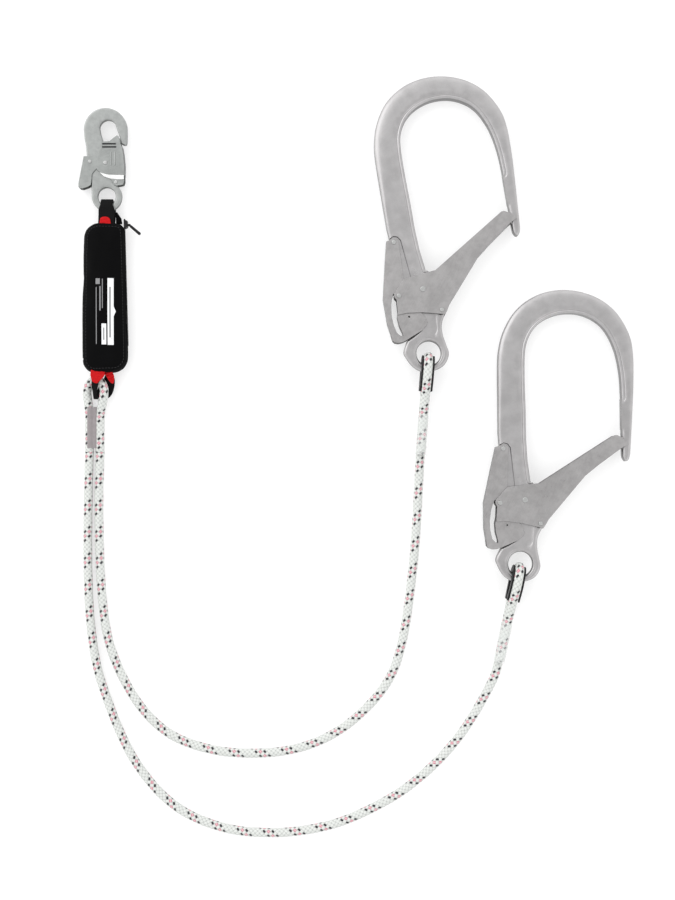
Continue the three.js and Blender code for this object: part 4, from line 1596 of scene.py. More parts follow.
BIGHT = lying(
    (-0.3323, -0.105), (-0.3323, -0.078), (-0.3325, -0.058), (-0.334, -0.042, 0.0062),
    (-0.3349, -0.03, 0.0074), (-0.3319, -0.0208, 0.0088), (-0.325, -0.0163, 0.0104),
    (-0.318, -0.0173, 0.0124), (-0.3134, -0.024, 0.0138), (-0.313, -0.0345, 0.0136),
    (-0.3154, -0.045, 0.01), (-0.318, -0.055, 0.0064), (-0.3189, -0.066), (-0.3189, -0.08),
    (-0.319, -0.105),
)


@dataclass
class RopeRun:
    """A stretch of the braided rope along its own centreline, in metres."""

    name: str
    points: Sequence[Point]
    side: Point = (1.0, 0.0, 0.0)
    radius: float = ROPE_RADIUS
    sides: int = 22
    step: float = 0.003
    line: np.ndarray = field(init=False)

    def build(self, node: str, place: Matrix | None = None) -> Piece:
        """Make the stretch in place of a CAD node.

        Args:
            node: the CAD node it stands for.
            place: where its own axes stand; the row frame if left out.

        Returns:
            The sheath of the stretch.
        """
        place = place or Matrix()
        self.line = centripetal([tuple(place @ Vector(p)) for p in self.points], self.step)
        side = place.to_3x3() @ Vector(self.side)
        piece = sweep(self.name, self.line, circle(self.radius, self.sides), tuple(side))
        return settle(piece, "absorber", SHEATH, (node,))


@dataclass
class TwinRope:
    """The doubled rope: two legs, the bight between them and the sewn seizing."""

    radius: float = ROPE_RADIUS
    seizing_low: tuple[float, float] = (-334.0, -100.0)
    seizing_high: tuple[float, float] = (-322.4, -49.0)
    strand: float = -332.4
    turns: int = 46
    columns: int = 26
    rows_a_turn: int = 5
    wrap: float = 6.0
    valley: float = 9.6
    thread_rise: float = 0.32
    wander: float = 0.12

    def build(self) -> None:
        """Lay both legs and the bight and wind the seizing on."""
        for name, route in (("leg_1", LEG_1), ("leg_2", LEG_2)):
            run = RopeRun(f"{name}_sheath", route)
            piece = run.build(f"rope_{name}")
            log.info("%s is %.3f m long", name, length_of(run.line))
        RopeRun("bight_sheath", BIGHT, step=0.002).build("rope_bight")
        self._seizing()

    def _seizing(self) -> None:
        """Lay the sewn thread over the left strand and into the valley, turn by turn."""
        xs = np.linspace(self.seizing_low[0], self.seizing_high[0], self.columns)
        rows = self.turns * self.rows_a_turn
        ys = np.linspace(self.seizing_low[1], self.seizing_high[1], rows)
        ratio = (xs - xs[0]) / (xs[-1] - xs[0])
        rope = np.sqrt(np.maximum(0.0, self.wrap**2 - (xs - self.strand) ** 2)) + ROPE_REST / MM
        base = np.maximum(rope, self.valley)
        ease = 0.9 * (np.minimum(1.0, ratio * 10) * np.minimum(1.0, (1 - ratio) * 8))
        top, low = [], []
        for y in ys:
            turn = (y - ys[0]) / (ys[-1] - ys[0]) * self.turns
            ridge = self.thread_rise * abs(math.sin(math.pi * turn)) ** 0.6
            for k, x in enumerate(xs):
                wander = self.wander * noise.noise(Vector((x * 0.5, y * 0.9, 3.0)))
                top.append((x * MM, y * MM, (base[k] - 0.5 + ease[k] + ridge + wander) * MM))
                low.append((x * MM, y * MM, (base[k] - 1.4) * MM))
        faces = slab_faces(len(xs), len(ys))
        mesh = mesh_of("seizing_thread", top + low, faces, smooth=True)
        piece = new_object("seizing_thread", mesh)
        settle(piece, "absorber", BINDING, ("rope_seizing",))


@dataclass
class RopeEye:
    """The spliced eye of one leg: rope round the ring, a channel thimble and a clear sleeve.

    Its own +X runs down the rope from the nose; lengths are in millimetres.
    """

    hook: str
    ring: tuple[float, float]
    turn: float
    drop: float = 3.5
    height: float = 20.7
    radius: float = 15.0
    lower: float = -14.0
    upper: float = -2.7
    splice_start: float = 73.0
    splice_end: float = 121.5
    channel: tuple[float, float, float] = (5.75, -5.8, 7.9)
    channel_foot: float = -7.5
    channel_lip: float = 1.0

    def build(self) -> None:
        """Lay the eye and dress its thimble and sleeve."""
        place = stand(*self.ring, self.height)
        place = place @ Matrix.Rotation(math.radians(self.turn), 4, "Z")
        place = place @ stand(self.drop, 0, 0)
        run = RopeRun(f"{self.hook}_eye_sheath", self._route(), side=(0.0, 1.0, 0.0), step=0.002)
        run.build(f"{self.hook}_rope_eye", place)
        self._thimble(place)
        dress_node(f"{self.hook}_splice_sleeve", FILM, 0.0)

    def _nose(self) -> list[Point]:
        """Give the half round of the eye's nose, from its top to its bottom."""
        r = self.radius
        return [(r - r * math.sin(a), 0.0, r * math.cos(a)) for a in np.radians(range(0, 181, 30))]

    def _thimble(self, place: Matrix) -> None:
        """Mould the channel that the rope lies in where it rounds the ring.

        Args:
            place: where the eye's own axes stand.
        """
        r = self.radius
        route = [(43, 0, 6.8), (35, 0, 10.8), (25, 0, 14.6), *self._nose(), (30, 0, -r),
                 (43, 0, 0.2 - r)]
        points = [tuple(place @ Vector((x * MM, y * MM, z * MM))) for x, y, z in route]
        side = place.to_3x3() @ Vector((0.0, -1.0, 0.0))
        wall, floor, out = self.channel
        foot, lip = self.channel_foot, self.channel_lip
        section = [(-out, foot), (out, foot), (out, lip), (wall, lip), (wall, floor),
                   (-wall, floor), (-wall, lip), (-out, lip)]
        section = [(x * MM, y * MM) for x, y in section]
        piece = sweep(f"{self.hook}_channel", centripetal(points, 0.0015), section, tuple(side))
        ease_edges(piece, 0.0005, planar=False)
        settle(piece, "absorber", PLASTIC, (f"{self.hook}_thimble",))

    def _route(self) -> list[Point]:
        """Give the rope's line through the splice, round the nose and back, in metres.

        Returns:
            The points of the centreline.
        """
        r, low, up = self.radius, self.lower, self.upper
        nose = self._nose()
        route = [
            (self.splice_end - 3, 0, up), (92, 0, up), (self.splice_start, 0, up),
            (66, 0, up + 0.7), (57, 0, 1.2), (46, 0, 5.4), (35, 0, 10.8), (25, 0, 14.6), *nose,
            (30, 0, -r), (50, 0, 0.4 - r), (68, 0, low), (92, 0, low),
            (self.splice_end + 0.3, 0, low),
        ]
        return [(x * MM, y * MM, z * MM) for x, y, z in route]


# -------------------- scaffold hook
@dataclass
class ScaffoldHook:
    """A large forged hook with its sheet gate and lock lever, in its own millimetres.

    Its own origin is the middle of the ring, and +Y runs up the spine to the arch.
    """

    name: str
    ring: tuple[float, float]
    turn: float
    height: float = 20.7
    tilt: float = 2.1
    half: float = 8.0
    neck_half: float = 6.0
    ring_hole: float = 15.0
    gate_pivot: tuple[float, float] = (5.4, 79.0)
    boss: float = 9.0

    def build(self) -> None:
        """Forge the body and dress the gate, the lever, the rivets and the springs."""
        body = ReliefPlate(
            f"{self.name}_forging", self._outline(), self._rise,
            holes=[arc((0, 0), self.ring_hole, 360, 0, 73)[:-1]],
            guides=[
                (offset_line(self._recess(), 0.45), True),
                (offset_line(self._recess(), -0.45), True),
                (arc((0, 0), 18.6, 0, 360, 73)[:-1], True),
                (arc(self.gate_pivot, self.boss + 0.6, 0, 360, 37)[:-1], True),
                (self._crease(), False),
                (offset_line(self._crease(), 0.8, closed=False), False),
                (offset_line(self._crease(), -0.8, closed=False), False),
            ],
            rings=(0.25, 0.7, 1.3, 2.0, 2.8, 3.7, 4.2, 4.7, 5.6),
            step=2.0,
        )
        piece = body.build(self._place())
        self._finish(piece)

    def _place(self) -> Matrix:
        """Give where the hook's own axes stand in the row frame.

        Returns:
            The hook's own frame, in metres.
        """
        at = stand(*self.ring, self.height)
        turned = Matrix.Rotation(math.radians(self.turn), 4, "Z")
        return at @ turned @ Matrix.Rotation(math.radians(-self.tilt), 4, "X")

    @staticmethod
    def _arch_outside() -> np.ndarray:
        """Give the outer line of the arch, from the nose side over to the spine.

        Returns:
            Points along it, N by 2.
        """
        return uniform_spline(
            [
                (139, 183), (141, 225), (140.6, 262), (135, 287), (118, 314), (92, 332),
                (58, 339.5), (25, 334), (-2, 316.5), (-19, 290), (-26.3, 262), (-27.4, 232),
            ],
            10,
        )

    @staticmethod
    def _inner_edge() -> np.ndarray:
        """Give the inner line of the spine and the arch, from the gate up and over.

        Returns:
            Points along it, N by 2.
        """
        arch = uniform_spline(
            [
                (7.2, 190), (6.2, 224), (6.4, 256), (9.5, 275), (18.5, 291.5), (33, 303),
                (52, 309.3), (73, 309), (92, 301.5), (106.5, 288), (118, 264), (124, 235),
                (125.8, 205),
            ],
            10,
        )
        return np.vstack([[(12.5, 102), (9.1, 128.6), (7.6, 154)], arch])

    def _outer_edge(self) -> np.ndarray:
        """Give the rest of the outline: nose, arch, back of the spine, neck and ring.

        Returns:
            Points along it, N by 2.
        """
        nose = uniform_spline(
            [(126, 165), (126.4, 137), (127.4, 130.5), (130.8, 126.6), (134.6, 129.6),
             (136.3, 137)],
            5,
        )
        spine = [(-26.8, 160), (-25.8, 147), (-25.3, 133), (-21.5, 127), (-20.6, 104)]
        neck = [
            (-21, 89), (-21.1, 76), (-18.8, 68), (-14.5, 60.6), (-11.5, 57), (-9.5, 48),
            (-8.1, 37.5), (-6.6, 29.5), (-15.7, 23.4),
        ]
        rim = uniform_spline(
            [
                (-23.9, 19.6), (-30.2, 6.8), (-28.6, -1), (-22.8, -12), (-16.2, -18.4),
                (-10, -21.2), (-3.5, -22), (4, -21.8), (10.5, -20.4), (17, -17), (22, -11),
                (24.8, -3), (23.2, 7), (21.2, 18), (21, 28.5), (23, 36), (26.6, 43),
            ],
            5,
        )
        shoulder = [
            (27, 46.8), (22.6, 47.4), (22, 48.2), (21.6, 52), (24.5, 62), (28.3, 74), (27.8, 86),
            (22.4, 95.5),
        ]
        return np.vstack([nose, self._arch_outside(), spine, neck, rim, shoulder])

    def _outline(self) -> np.ndarray:
        """Give the whole outline, anticlockwise."""
        return np.vstack([self._outer_edge(), self._inner_edge()])

    @staticmethod
    def _crease() -> np.ndarray:
        """Give the crease that runs down the neck to the ring."""
        return uniform_spline([(16.5, 44.6), (15.4, 35), (15, 27.2), (11.2, 20.4)], 4)

    @staticmethod
    def _recess() -> np.ndarray:
        """Give the part of the hook that is thinned for the lever.

        Returns:
            Its corners, N by 2.
        """
        return np.array(
            [
                (-60, 147), (-25, 147), (-20.5, 149.4), (-15.5, 148), (-12.2, 143.4),
                (-6.4, 91.5), (70, 91.5), (70, -60), (-60, -60),
            ],
            dtype=float,
        )

    def _rise(self, at: np.ndarray) -> np.ndarray:
        """Give the forging's half thickness at each point.

        Args:
            at: points in the hook's own millimetres.

        Returns:
            The half thicknesses.
        """
        recess = self._recess()
        depth = to_polygon(at, recess) * np.where(inside(at, recess), 1.0, -1.0)
        thin = smoothstep(depth, -0.5, 0.5)
        boss = smoothstep(self.boss - np.linalg.norm(at - self.gate_pivot, axis=1), -0.5, 0.5)
        half = self.half - (self.half - self.neck_half) * thin * (1 - boss)
        edge = to_polygon(at, self._inner_edge(), closed=False)
        bead = rounded(edge, 2.2, 2.6) + 0.6 * np.exp(-(((edge - 4.2) / 0.5) ** 2))
        bead += 0.3 * smoothstep(edge, 2.4, 3.8) * (1 - smoothstep(edge, 4.6, 5.6))
        outer = to_polygon(at, self._outer_edge(), closed=False)
        dome = smoothstep(at[:, 1], 170, 290)
        reach, drop = 4.0 + 10.0 * dome, 3.0 + 1.8 * dome
        share = np.clip(1 - outer / reach, 0, 1)
        rim = drop * (1 - np.sqrt(1 - share**2))
        radius = np.linalg.norm(at, axis=1)
        hole = rounded(radius - self.ring_hole, 2.8, 2.8)
        fall = np.maximum(np.maximum(rim, bead), hole)
        fall += 0.35 * np.exp(-(((radius - 18.6) / 0.5) ** 2))
        fall += 0.5 * np.exp(-((to_polygon(at, self._crease(), closed=False) / 0.6) ** 2))
        return half - fall

    def _finish(self, piece: Piece) -> None:
        """Dress the forging and the carried-over nodes.

        Args:
            piece: the forging.
        """
        ease_edges(piece)
        settle(piece, self.name, FORGED, (f"{self.name}_body",))
        for part in ("gate", "lock_lever"):
            dress_node(f"{self.name}_{part}", SHEET, 0.00045)
        for part in ("lever_pivot_rivet", "gate_pivot_rivet", "lock_pin", "stop_pin"):
            dress_node(f"{self.name}_{part}", RIVET, 0.0003)
        for part in ("lever_spring", "gate_spring"):
            dress_node(f"{self.name}_{part}", WIRE, 0.0)


# -------------------- snap hook
@dataclass
class SnapHook:
    """The small double-action hook at the absorber's end, in its own millimetres."""

    ring: tuple[float, float] = (-309.6, 212.3)
    height: float = 8.6
    half: float = 4.5
    ring_rim: float = 18.6
    ring_hole: float = 11.1
    # how far from the middle the dark sheet of painted shade lies
    shade_sheet_depth: float = 6.15

    def build(self) -> None:
        """Cast the body and dress the gate, the lever, the rivets and the springs."""
        body = ReliefPlate(
            "snap_casting", self._outline(), self._rise,
            holes=[arc((0, 0), self.ring_hole, 360, 0, 61)[:-1]],
            rings=(0.2, 0.5, 0.9, 1.4, 2.1), step=1.2, grid=4.0,
        )
        piece = body.build(stand(*self.ring, self.height))
        ease_edges(piece)
        settle(piece, "snap_hook", CAST, ("snap_body",))
        for part in ("snap_gate", "snap_lock_lever"):
            dress_node(part, SNAP_SHEET, 0.0003)
        self._gate_details()
        for part in ("snap_gate_rivet", "snap_lever_rivet", "snap_stop_pin"):
            dress_node(part, RIVET, 0.0002)
        for part in ("snap_gate_spring", "snap_lever_spring"):
            dress_node(part, WIRE, 0.0)

    def _gate_details(self) -> None:
        """Add the sloping step of the gate's cheeks, coloured with a painted highlight, and a dark
        sheet of painted shade behind its slots.
        """
        edges = (
            [(-8.2, 29.3), (2, 26.5), (12, 26.1), (21.7, 26.1)],
            [(-3.4, 24.6), (4, 21.8), (12, 20.9), (21.7, 20.9)],
        )
        for side, name in ((1, "gate_step_front"), (-1, "gate_step_back")):
            rows = [(edges[0], 7.5), (edges[1], 6.5), (edges[1], 6.1), (edges[0], 6.9)]
            verts = [(self.ring[0] + x, self.ring[1] + y, self.height + side * z)
                     for row, z in rows for x, y in row]
            faces = [(r * 4 + c, r * 4 + c + 1, (r + 1) % 4 * 4 + c + 1, (r + 1) % 4 * 4 + c)
                     for r in range(4) for c in range(3)]
            faces += [(0, 4, 8, 12), (15, 11, 7, 3)]
            mesh = mesh_of(name, [tuple(c * MM for c in v) for v in verts], faces)
            piece = new_object(name, mesh)
            self._face_outwards(piece)
            ease_edges(piece, 0.0002, planar=False)
            # painted highlight: the step is dressed near white
            settle(piece, "snap_gate", PAINTED_HIGHLIGHT_STEP)
            # painted shade: a thin dark sheet behind the slots stands for the shade inside the gate
            shade_plate = ReliefPlate(f"{name}_hollow", np.array([
                (-4.9, 59.4), (12.0, 59.4), (11.4, 65.9), (-4.9, 65.9)]),
                lambda at: np.full(len(at), 0.1), rings=(0.5,), step=3.0, grid=4.0)
            low = stand(*self.ring, self.height + side * self.shade_sheet_depth)
            settle(shade_plate.build(low), "snap_gate", PAINTED_SHADE_SHEET)

    @staticmethod
    def _face_outwards(piece: Piece) -> None:
        """Turn every face of a closed piece to look outwards.

        Args:
            piece: the closed piece.
        """
        made = bmesh.new()
        made.from_mesh(piece.data)
        bmesh.ops.recalc_face_normals(made, faces=made.faces)
        made.to_mesh(piece.data)
        made.free()

    def _outline(self) -> np.ndarray:
        """Give the casting's outline, anticlockwise.

        Returns:
            Its points, N by 2.
        """
        tip = uniform_spline([(18.2, 65.6), (21.5, 63.9), (24.6, 65.4), (25.1, 75)], 4)
        back = [
            (-27.6, 72), (-25.6, 62), (-24.6, 50), (-25.2, 45), (-24.6, 39), (-21.5, 33),
            (-19.5, 25), (-18.9, 12),
        ]
        front = [(7.4, 22), (9.5, 32), (9, 44), (5.5, 53), (-1, 60), (-4.6, 68.4), (-7.4, 77)]
        return np.vstack([
            tip[:-1], arc((-1.7, 83.2), 26.8, 0, 180, 40), back,
            arc((0, 0), self.ring_rim, 180, 424, 48), front,
            arc((1.6, 84.6), 10.4, 180, 30, 18), [(14.2, 79), (16.8, 72)],
        ])

    def _rise(self, at: np.ndarray) -> np.ndarray:
        """Give the casting's half thickness at each point.

        Args:
            at: points in the hook's own millimetres.

        Returns:
            The half thicknesses.
        """
        edge = to_polygon(at, self._outline())
        hole = np.linalg.norm(at, axis=1) - self.ring_hole
        return self.half - np.maximum(rounded(edge, 1.7, 1.3), rounded(hole, 2.2, 1.7))


# -------------------- absorber
@dataclass
class PouchCover:
    """The padded cover of the absorber, swollen by a cloth simulation; millimetres."""

    middle: float = 15.0
    crown: float = 12.4
    hem: float = 2.6
    mouth: float = 8.6
    reach: float = 15.0
    most_swell: float = 0.006
    centre: float = -311.5
    voxel: float = 0.004
    swell_frames: int = 20
    pressure: float = 4.0
    stretch: float = 12.0
    across: tuple[float, float] = (-338.8, -283.2)
    along: tuple[float, float] = (-6.8, 178.2)

    def build(self) -> Skin:
        """Sew, swell and dress the cover.

        Returns:
            The cover's skin.
        """
        plate = ReliefPlate("pouch_cover", offset_line(self._outline(), -1.0), self._half,
                            rings=(1.5, 3.5, 6.0, 9.0, 12.5), step=3.0, grid=5.0)
        piece = plate.build(stand(0, 0, self.middle))
        skin_mod = piece.modifiers.new("skin", "REMESH")
        skin_mod.mode = "VOXEL"
        skin_mod.voxel_size = self.voxel
        baked(piece)
        self._swell(piece)
        self._rumple(piece)
        smooth = piece.modifiers.new("smooth", "SUBSURF")
        smooth.levels = smooth.render_levels = 1
        baked(piece)
        piece.data.polygons.foreach_set("use_smooth", [True] * len(piece.data.polygons))
        settle(piece, "absorber", CLOTH, ("pouch_front", "pouch_back"))
        return Skin(piece)

    @staticmethod
    def _outline() -> np.ndarray:
        """Give the cover's outline a little inside its finished edge, anticlockwise.

        Returns:
            Its points, N by 2.
        """
        return np.vstack([
            arc((-321.4, 9.6), 15.2, 182, 262, 8), arc((-300.6, 12.2), 17.0, 278, 358, 8),
            [(-283.6, 26), (-287.0, 160)], arc((-296.4, 167.6), 8.8, 5, 85, 6),
            [(-303, 176.6), (-319.2, 176.8), (-325.5, 175), (-331, 171), (-334.6, 164)],
            [(-335.6, 140), (-337.0, 60)],
        ])

    def _half(self, at: np.ndarray) -> np.ndarray:
        """Give the cover's half thickness before it swells.

        Args:
            at: points on the cover.

        Returns:
            The half thicknesses.
        """
        depth = to_polygon(at, offset_line(self._outline(), -1.0))
        near_end = smoothstep(at[:, 1], 140, 165) + 1 - smoothstep(at[:, 1], 4, 26)
        near_band = 1 - smoothstep(np.abs(at[:, 0] - self.centre), 10, 17)
        hem = self.hem + (self.mouth - self.hem) * near_end * near_band
        share = np.clip(depth / self.reach, 0, 1)
        return hem + (self.crown - hem) * np.sqrt(1 - (1 - share) ** 2)

    def _swell(self, piece: Piece) -> None:
        """Blow the cover up as cloth, no further than its most.

        Args:
            piece: the closed cover.
        """
        scene = bpy.context.scene
        start = coordinates(piece.data)
        cloth = piece.modifiers.new("swell", "CLOTH")
        made = cloth.settings
        made.quality = 6
        made.mass = 0.3
        made.tension_stiffness = made.compression_stiffness = self.stretch
        made.bending_stiffness = 0.4
        made.use_pressure = True
        made.uniform_pressure_force = self.pressure
        made.effector_weights.gravity = 0.0
        cloth.point_cache.frame_start, cloth.point_cache.frame_end = 1, self.swell_frames
        for frame_number in range(1, self.swell_frames + 1):
            scene.frame_set(frame_number)
        graph = bpy.context.evaluated_depsgraph_get()
        result = piece.evaluated_get(graph).to_mesh()
        moved = coordinates(result) - start
        piece.modifiers.clear()
        scene.frame_set(1)
        far = np.linalg.norm(moved, axis=1)
        moved *= np.minimum(1.0, self.most_swell / np.maximum(far, 1e-9))[:, None]
        piece.data.vertices.foreach_set("co", (start + moved).ravel())
        log.info("cover swelled by up to %.1f mm", min(far.max(), self.most_swell) * 1000)

    def _rumple(self, piece: Piece) -> None:
        """Give the cloth faint folds, gathered at the ends, and rest it on the floor.

        Args:
            piece: the closed cover.
        """
        at = coordinates(piece.data)
        low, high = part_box("pouch_back")[0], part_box("pouch_front")[1]
        for i, point in enumerate(at):
            ends = min(1.0, max(0.0, abs(point[1] - 0.085) / 0.09 - 0.55) * 2.2)
            fold = noise.noise(Vector((point[0] * 90, point[1] * 30, point[2] * 60)))
            side = np.sign(point[0] - self.centre * MM)
            at[i, 2] += 0.0009 * fold * (0.35 + ends)
            at[i, 0] += 0.0004 * fold * ends * side
        for axis, (least, most) in enumerate((self.across, self.along)):
            start, end = at[:, axis].min(), at[:, axis].max()
            share = (at[:, axis] - start) / (end - start)
            at[:, axis] = (least + (most - least) * share) * MM
        at[:, 2] = np.clip(at[:, 2], low[2] + 0.0003, high[2] + 0.0004)
        piece.data.vertices.foreach_set("co", at.ravel())
        piece.data.update()

    def edge_line(self, skin: Skin, inwards: float, count: int) -> np.ndarray:
        """Give points round the cover, a distance in from its outline.

        Args:
            skin: the finished cover.
            inwards: the distance, in millimetres; 0 follows the middle of its wall.
            count: how many points.

        Returns:
            The points on the skin, in metres.
        """
        loop = self._outline()
        closed = np.vstack([loop, loop[:1]])
        run = run_of(closed)
        at = np.linspace(0, run[-1], count)
        flat = np.stack([np.interp(at, run, closed[:, k]) for k in range(2)], axis=1)
        shifted = offset_line(flat, max(inwards, 0.5), closed=False)
        made = []
        for (x, y), (inner_x, inner_y) in zip(flat, shifted):
            if inwards > 0:
                made.append(skin.top(inner_x * MM, inner_y * MM))
            else:
                way = (inner_x - x, inner_y - y)
                made.append(skin.side(x * MM, y * MM, self.middle * MM, way))
        return np.array([tuple(p) for p in made])


@dataclass
class AbsorberTrim:
    """What is sewn and printed on the cover, and the webbing at its two ends; millimetres."""

    cover: PouchCover
    skin: Skin
    snap_nose: float = 207.9
    loop_x: float = -309.4
    bump_at: float = 68.0
    bump_reach: float = 6.0
    bump: float = 2.6

    def build(self) -> None:
        """Make the seams, the print, the loops and the red tabs."""
        self._seams()
        self._print()
        self._top_loop()
        self._bottom_loop()
        self._tabs()
        dress_node("tear_webbing_pack", PACK_WEB, 0.0005)
        dress_node("zipper_tail", CLOTH, 0.0006)

    def _seams(self) -> None:
        """Run a corded seam round the wall and a row of stitches inside the top face's edge."""
        wall = self.cover.edge_line(self.skin, 0.0, 190)
        cord = sweep("cover_seam", wall[:-1], circle(0.0009, 8), (0.0, 0.0, 1.0))
        settle(cord, "absorber", CLOTH)
        row = self.cover.edge_line(self.skin, 3.4, 380)
        settle(stitch_row("cover_stitches", row), "absorber", SEAM)

    def _print(self) -> None:
        """Press the pale strip and the plain bars on the front."""
        def point(y: float) -> float:
            """Give how far the strip's pointed bump stands out at a height."""
            return self.bump * max(0.0, 1.0 - abs(y - self.bump_at) / self.bump_reach)

        strip = draped_patch("print_strip", self.skin, (-305.8, 26.8), (-298.4, 108.8), 0.16, point)
        settle(strip, "absorber", PANEL_PRINT, ("pouch_label",))
        box = draped_patch("print_box", self.skin, (-313.2, 27.4), (-307.4, 53.0), 0.14)
        settle(box, "absorber", PANEL_PRINT)
        bars = [
            ("print_square", (-320.4, 101.5), (-315.2, 108.5)),
            ("print_bar_1", (-315.8, 69.0), (-314.2, 99.0)),
            ("print_bar_2", (-312.6, 72.0), (-311.6, 108.0)),
            ("print_bar_3", (-320.2, 28.0), (-319.2, 98.0)),
            ("print_bar_4", (-311.2, 33.0), (-309.8, 48.0)),
            ("print_bar_5", (-303.6, 36.0), (-301.8, 98.0)),
        ]
        for name, low, high in bars:
            bar = draped_patch(name, self.skin, low, high, 0.24)
            settle(bar, "absorber", BAR_PRINT)

    def _top_loop(self) -> None:
        """Carry the black webbing up through the snap hook's eye and back."""
        route = [
            (60, 20.6), (44, 19.8), (30, 17.6), (18, 15.6), (6.5, 15.1), (1.9, 13.2), (0, 8.6),
            (1.9, 4), (6.5, 2.1), (13, 2.6), (22, 6.4), (32, 10), (44, 11.8), (60, 12.4),
        ]
        points = [(self.loop_x * MM, (self.snap_nose - d) * MM, z * MM) for d, z in route]
        line = centripetal(points, 0.0015)

        def drawn(i: int) -> tuple[float, float]:
            """Give how wide and thick the webbing is at a ring, narrower in the eye.

            Args:
                i: the ring's number.

            Returns:
                The shares of its width and thickness.
            """
            y = line[i, 1] / MM
            share = float(smoothstep(np.array(y), self.snap_nose - 13, self.snap_nose - 5))
            return 1 - 0.24 * share, 1.0 + 0.25 * share

        band = sweep("top_webbing", line, flat_section(0.020, 0.0024), (1, 0, 0), drawn)
        settle(band, "absorber", BLACK_WEB, ("top_loop",))

    def _bottom_loop(self) -> None:
        """Carry the bunched webbing down, under the rope and back up."""
        route = [
            (-317, 26, 20), (-319, 8, 19.6), (-321.6, -6, 19.8), (-322.8, -18, 20.2),
            (-323.4, -30, 18), (-323.6, -37.4, 12.4), (-323.4, -38, 6.4), (-322.2, -33.5, 3),
            (-318.4, -26, 2.6), (-312, -17.5, 3.6), (-307.6, -8, 8.8), (-306.6, 4, 10.8),
            (-306.6, 26, 11),
        ]
        line = centripetal([(x * MM, y * MM, z * MM) for x, y, z in route], 0.0015)

        def drawn(i: int) -> tuple[float, float]:
            """Give how wide the webbing is at a ring, bunched under the rope."""
            share = 1 - float(smoothstep(np.array(line[i, 1] / MM), -34, -20))
            return 1 - 0.42 * share, 1.0

        band = sweep("bottom_webbing", line, flat_section(0.0086, 0.0022), (1, 0, 0), drawn)
        settle(band, "absorber", BLACK_WEB, ("bottom_loop",))

        back = ReliefPlate(
            "bottom_webbing_return",
            uniform_spline([(-312.5, -12), (-302, -12), (-300.6, -20), (-303, -31), (-308, -37.6),
                            (-313.6, -36), (-315.4, -26), (-312.5, -12)], 4)[:-1],
            lambda at: 1.0 - 0.02 * np.abs(at[:, 0] + 308), rings=(0.5, 1.2), step=1.5, grid=2.5,
        )
        place = stand(0, 0, 4.8) @ Matrix.Rotation(math.radians(-4), 4, "X")
        settle(back.build(place), "absorber", BLACK_WEB)

    def _tabs(self) -> None:
        """Make the red tab above the cover and the two red wraps below it."""
        pieces = [
            ("red_tab", "top_red_tab", 21.8, 1.0, [
                (-317.4, 170), (-304.6, 170), (-303.4, 179), (-305.4, 184.2), (-311, 185.6),
                (-316, 183.2)]),
            ("red_wrap_left", "bottom_red_left", 22.2, 1.1, [
                (-328.2, -9), (-326.4, -17), (-320.6, -20.2), (-315, -15.4), (-310.4, -9),
                (-310.2, 5), (-322, 5), (-327, -2)]),
            ("red_wrap_right", "bottom_red_right", 16.6, 1.7, [
                (-313.6, -5), (-309.4, -11.5), (-304.6, -18.4), (-300.6, -19.8), (-299.6, -12),
                (-302, -5), (-305, 5), (-313, 5)]),
        ]
        for name, node, height, half, corners in pieces:
            loop = uniform_spline([*corners, corners[0]], 4)[:-1]

            def thick(at: np.ndarray, loop: np.ndarray = loop, half: float = half) -> np.ndarray:
                """Give the tab's half thickness, folded and thin at its edge.

                Args:
                    at: points on the tab.
                    loop: its outline.
                    half: its half thickness at the middle.

                Returns:
                    The half thicknesses.
                """
                fold = 0.3 * np.sin(at[:, 0] * 1.1 + at[:, 1] * 0.9)
                fold += 0.35 * np.sin(at[:, 0] * 0.5 - at[:, 1] * 1.4)
                return half - rounded(to_polygon(at, loop), 1.4, 0.75 * half) + fold * half

            plate = ReliefPlate(name, loop, thick, rings=(0.4, 0.9, 1.5), step=1.0, grid=1.6)
            piece = plate.build(stand(0, 0, height))
            ease_edges(piece)
            settle(piece, "absorber", RED_WEB, (node,))


@dataclass
class Zip:
    """The zip along the cover's right side; its own +Y runs up the chain, millimetres."""

    top: tuple[float, float] = (-288.27, 184.0)
    lean: float = math.atan2(3.8, 136)
    length: float = 158.0
    height: float = 15.0
    pitch: float = 1.5
    tooth: tuple[float, float, float] = (1.5, 0.66, 2.5)
    tooth_at: tuple[float, float] = (1.05, 0.95)

    def build(self) -> None:
        """Set the teeth and dress the slider and its pull."""
        place = stand(*self.top, self.height)
        place = place @ Matrix.Rotation(self.lean, 4, "Z")
        made = bmesh.new()
        count = int(self.length / self.pitch)
        for i in range(count):
            for side in (-1, 1):
                y = -self.pitch * (i + 0.5 + 0.25 * side)
                size = Matrix.Diagonal((*(length * MM for length in self.tooth), 1.0))
                at = stand(self.tooth_at[0], y, side * self.tooth_at[1])
                bmesh.ops.create_cube(made, size=1.0, matrix=place @ at @ size)
        mesh = bpy.data.meshes.new("zip_teeth")
        made.to_mesh(mesh)
        made.free()
        teeth = new_object("zip_teeth", mesh)
        edges = teeth.modifiers.new("edges", "BEVEL")
        edges.width = 0.0002
        edges.segments = 2
        settle(teeth, "absorber", PLASTIC, ("zipper_chain",))
        dress_node("zipper_slider", PLASTIC, 0.0003)
        dress_node("zipper_pull", PLASTIC, 0.0003)


# -------------------- everything
HOOKS = (
    ("hook_1", (89.3, 16.6), 9.05, -94.3),
    ("hook_2", (202.4, -243.1), 0.0, -101.5),
)


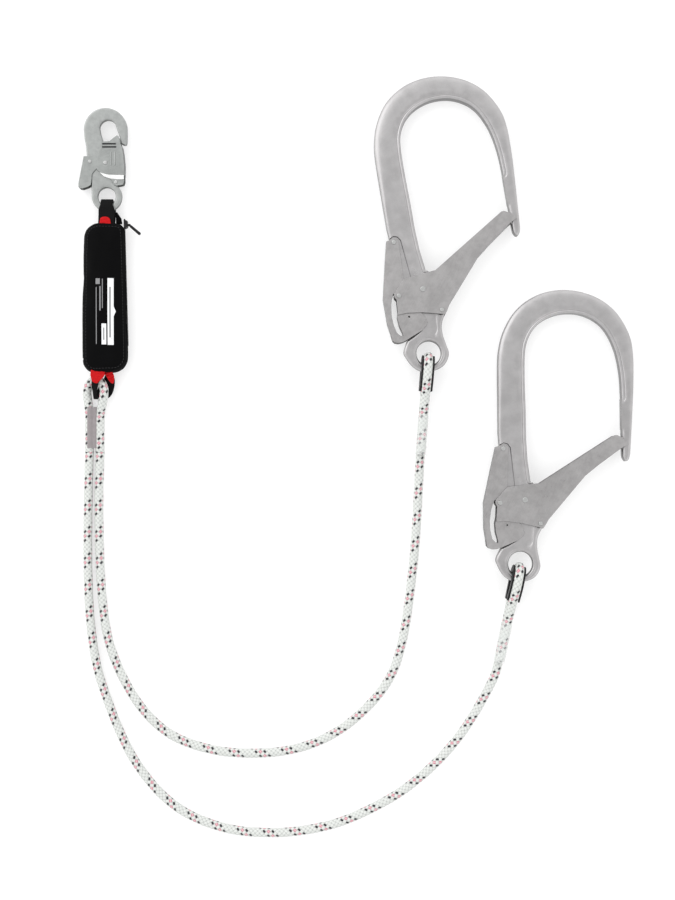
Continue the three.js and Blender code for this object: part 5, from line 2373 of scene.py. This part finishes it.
def main() -> None:
    """Build the lanyard piece by piece."""
    logging.basicConfig(level=logging.INFO, format="%(name)s: %(message)s")
    Studio().build()
    TwinRope().build()
    for name, ring, turn, rope_turn in HOOKS:
        ScaffoldHook(name, ring, turn).build()
        RopeEye(name, ring, rope_turn).build()
    SnapHook().build()
    cover = PouchCover()
    skin = cover.build()
    AbsorberTrim(cover, skin).build()
    Zip().build()


if __name__ == "__main__":
    main()
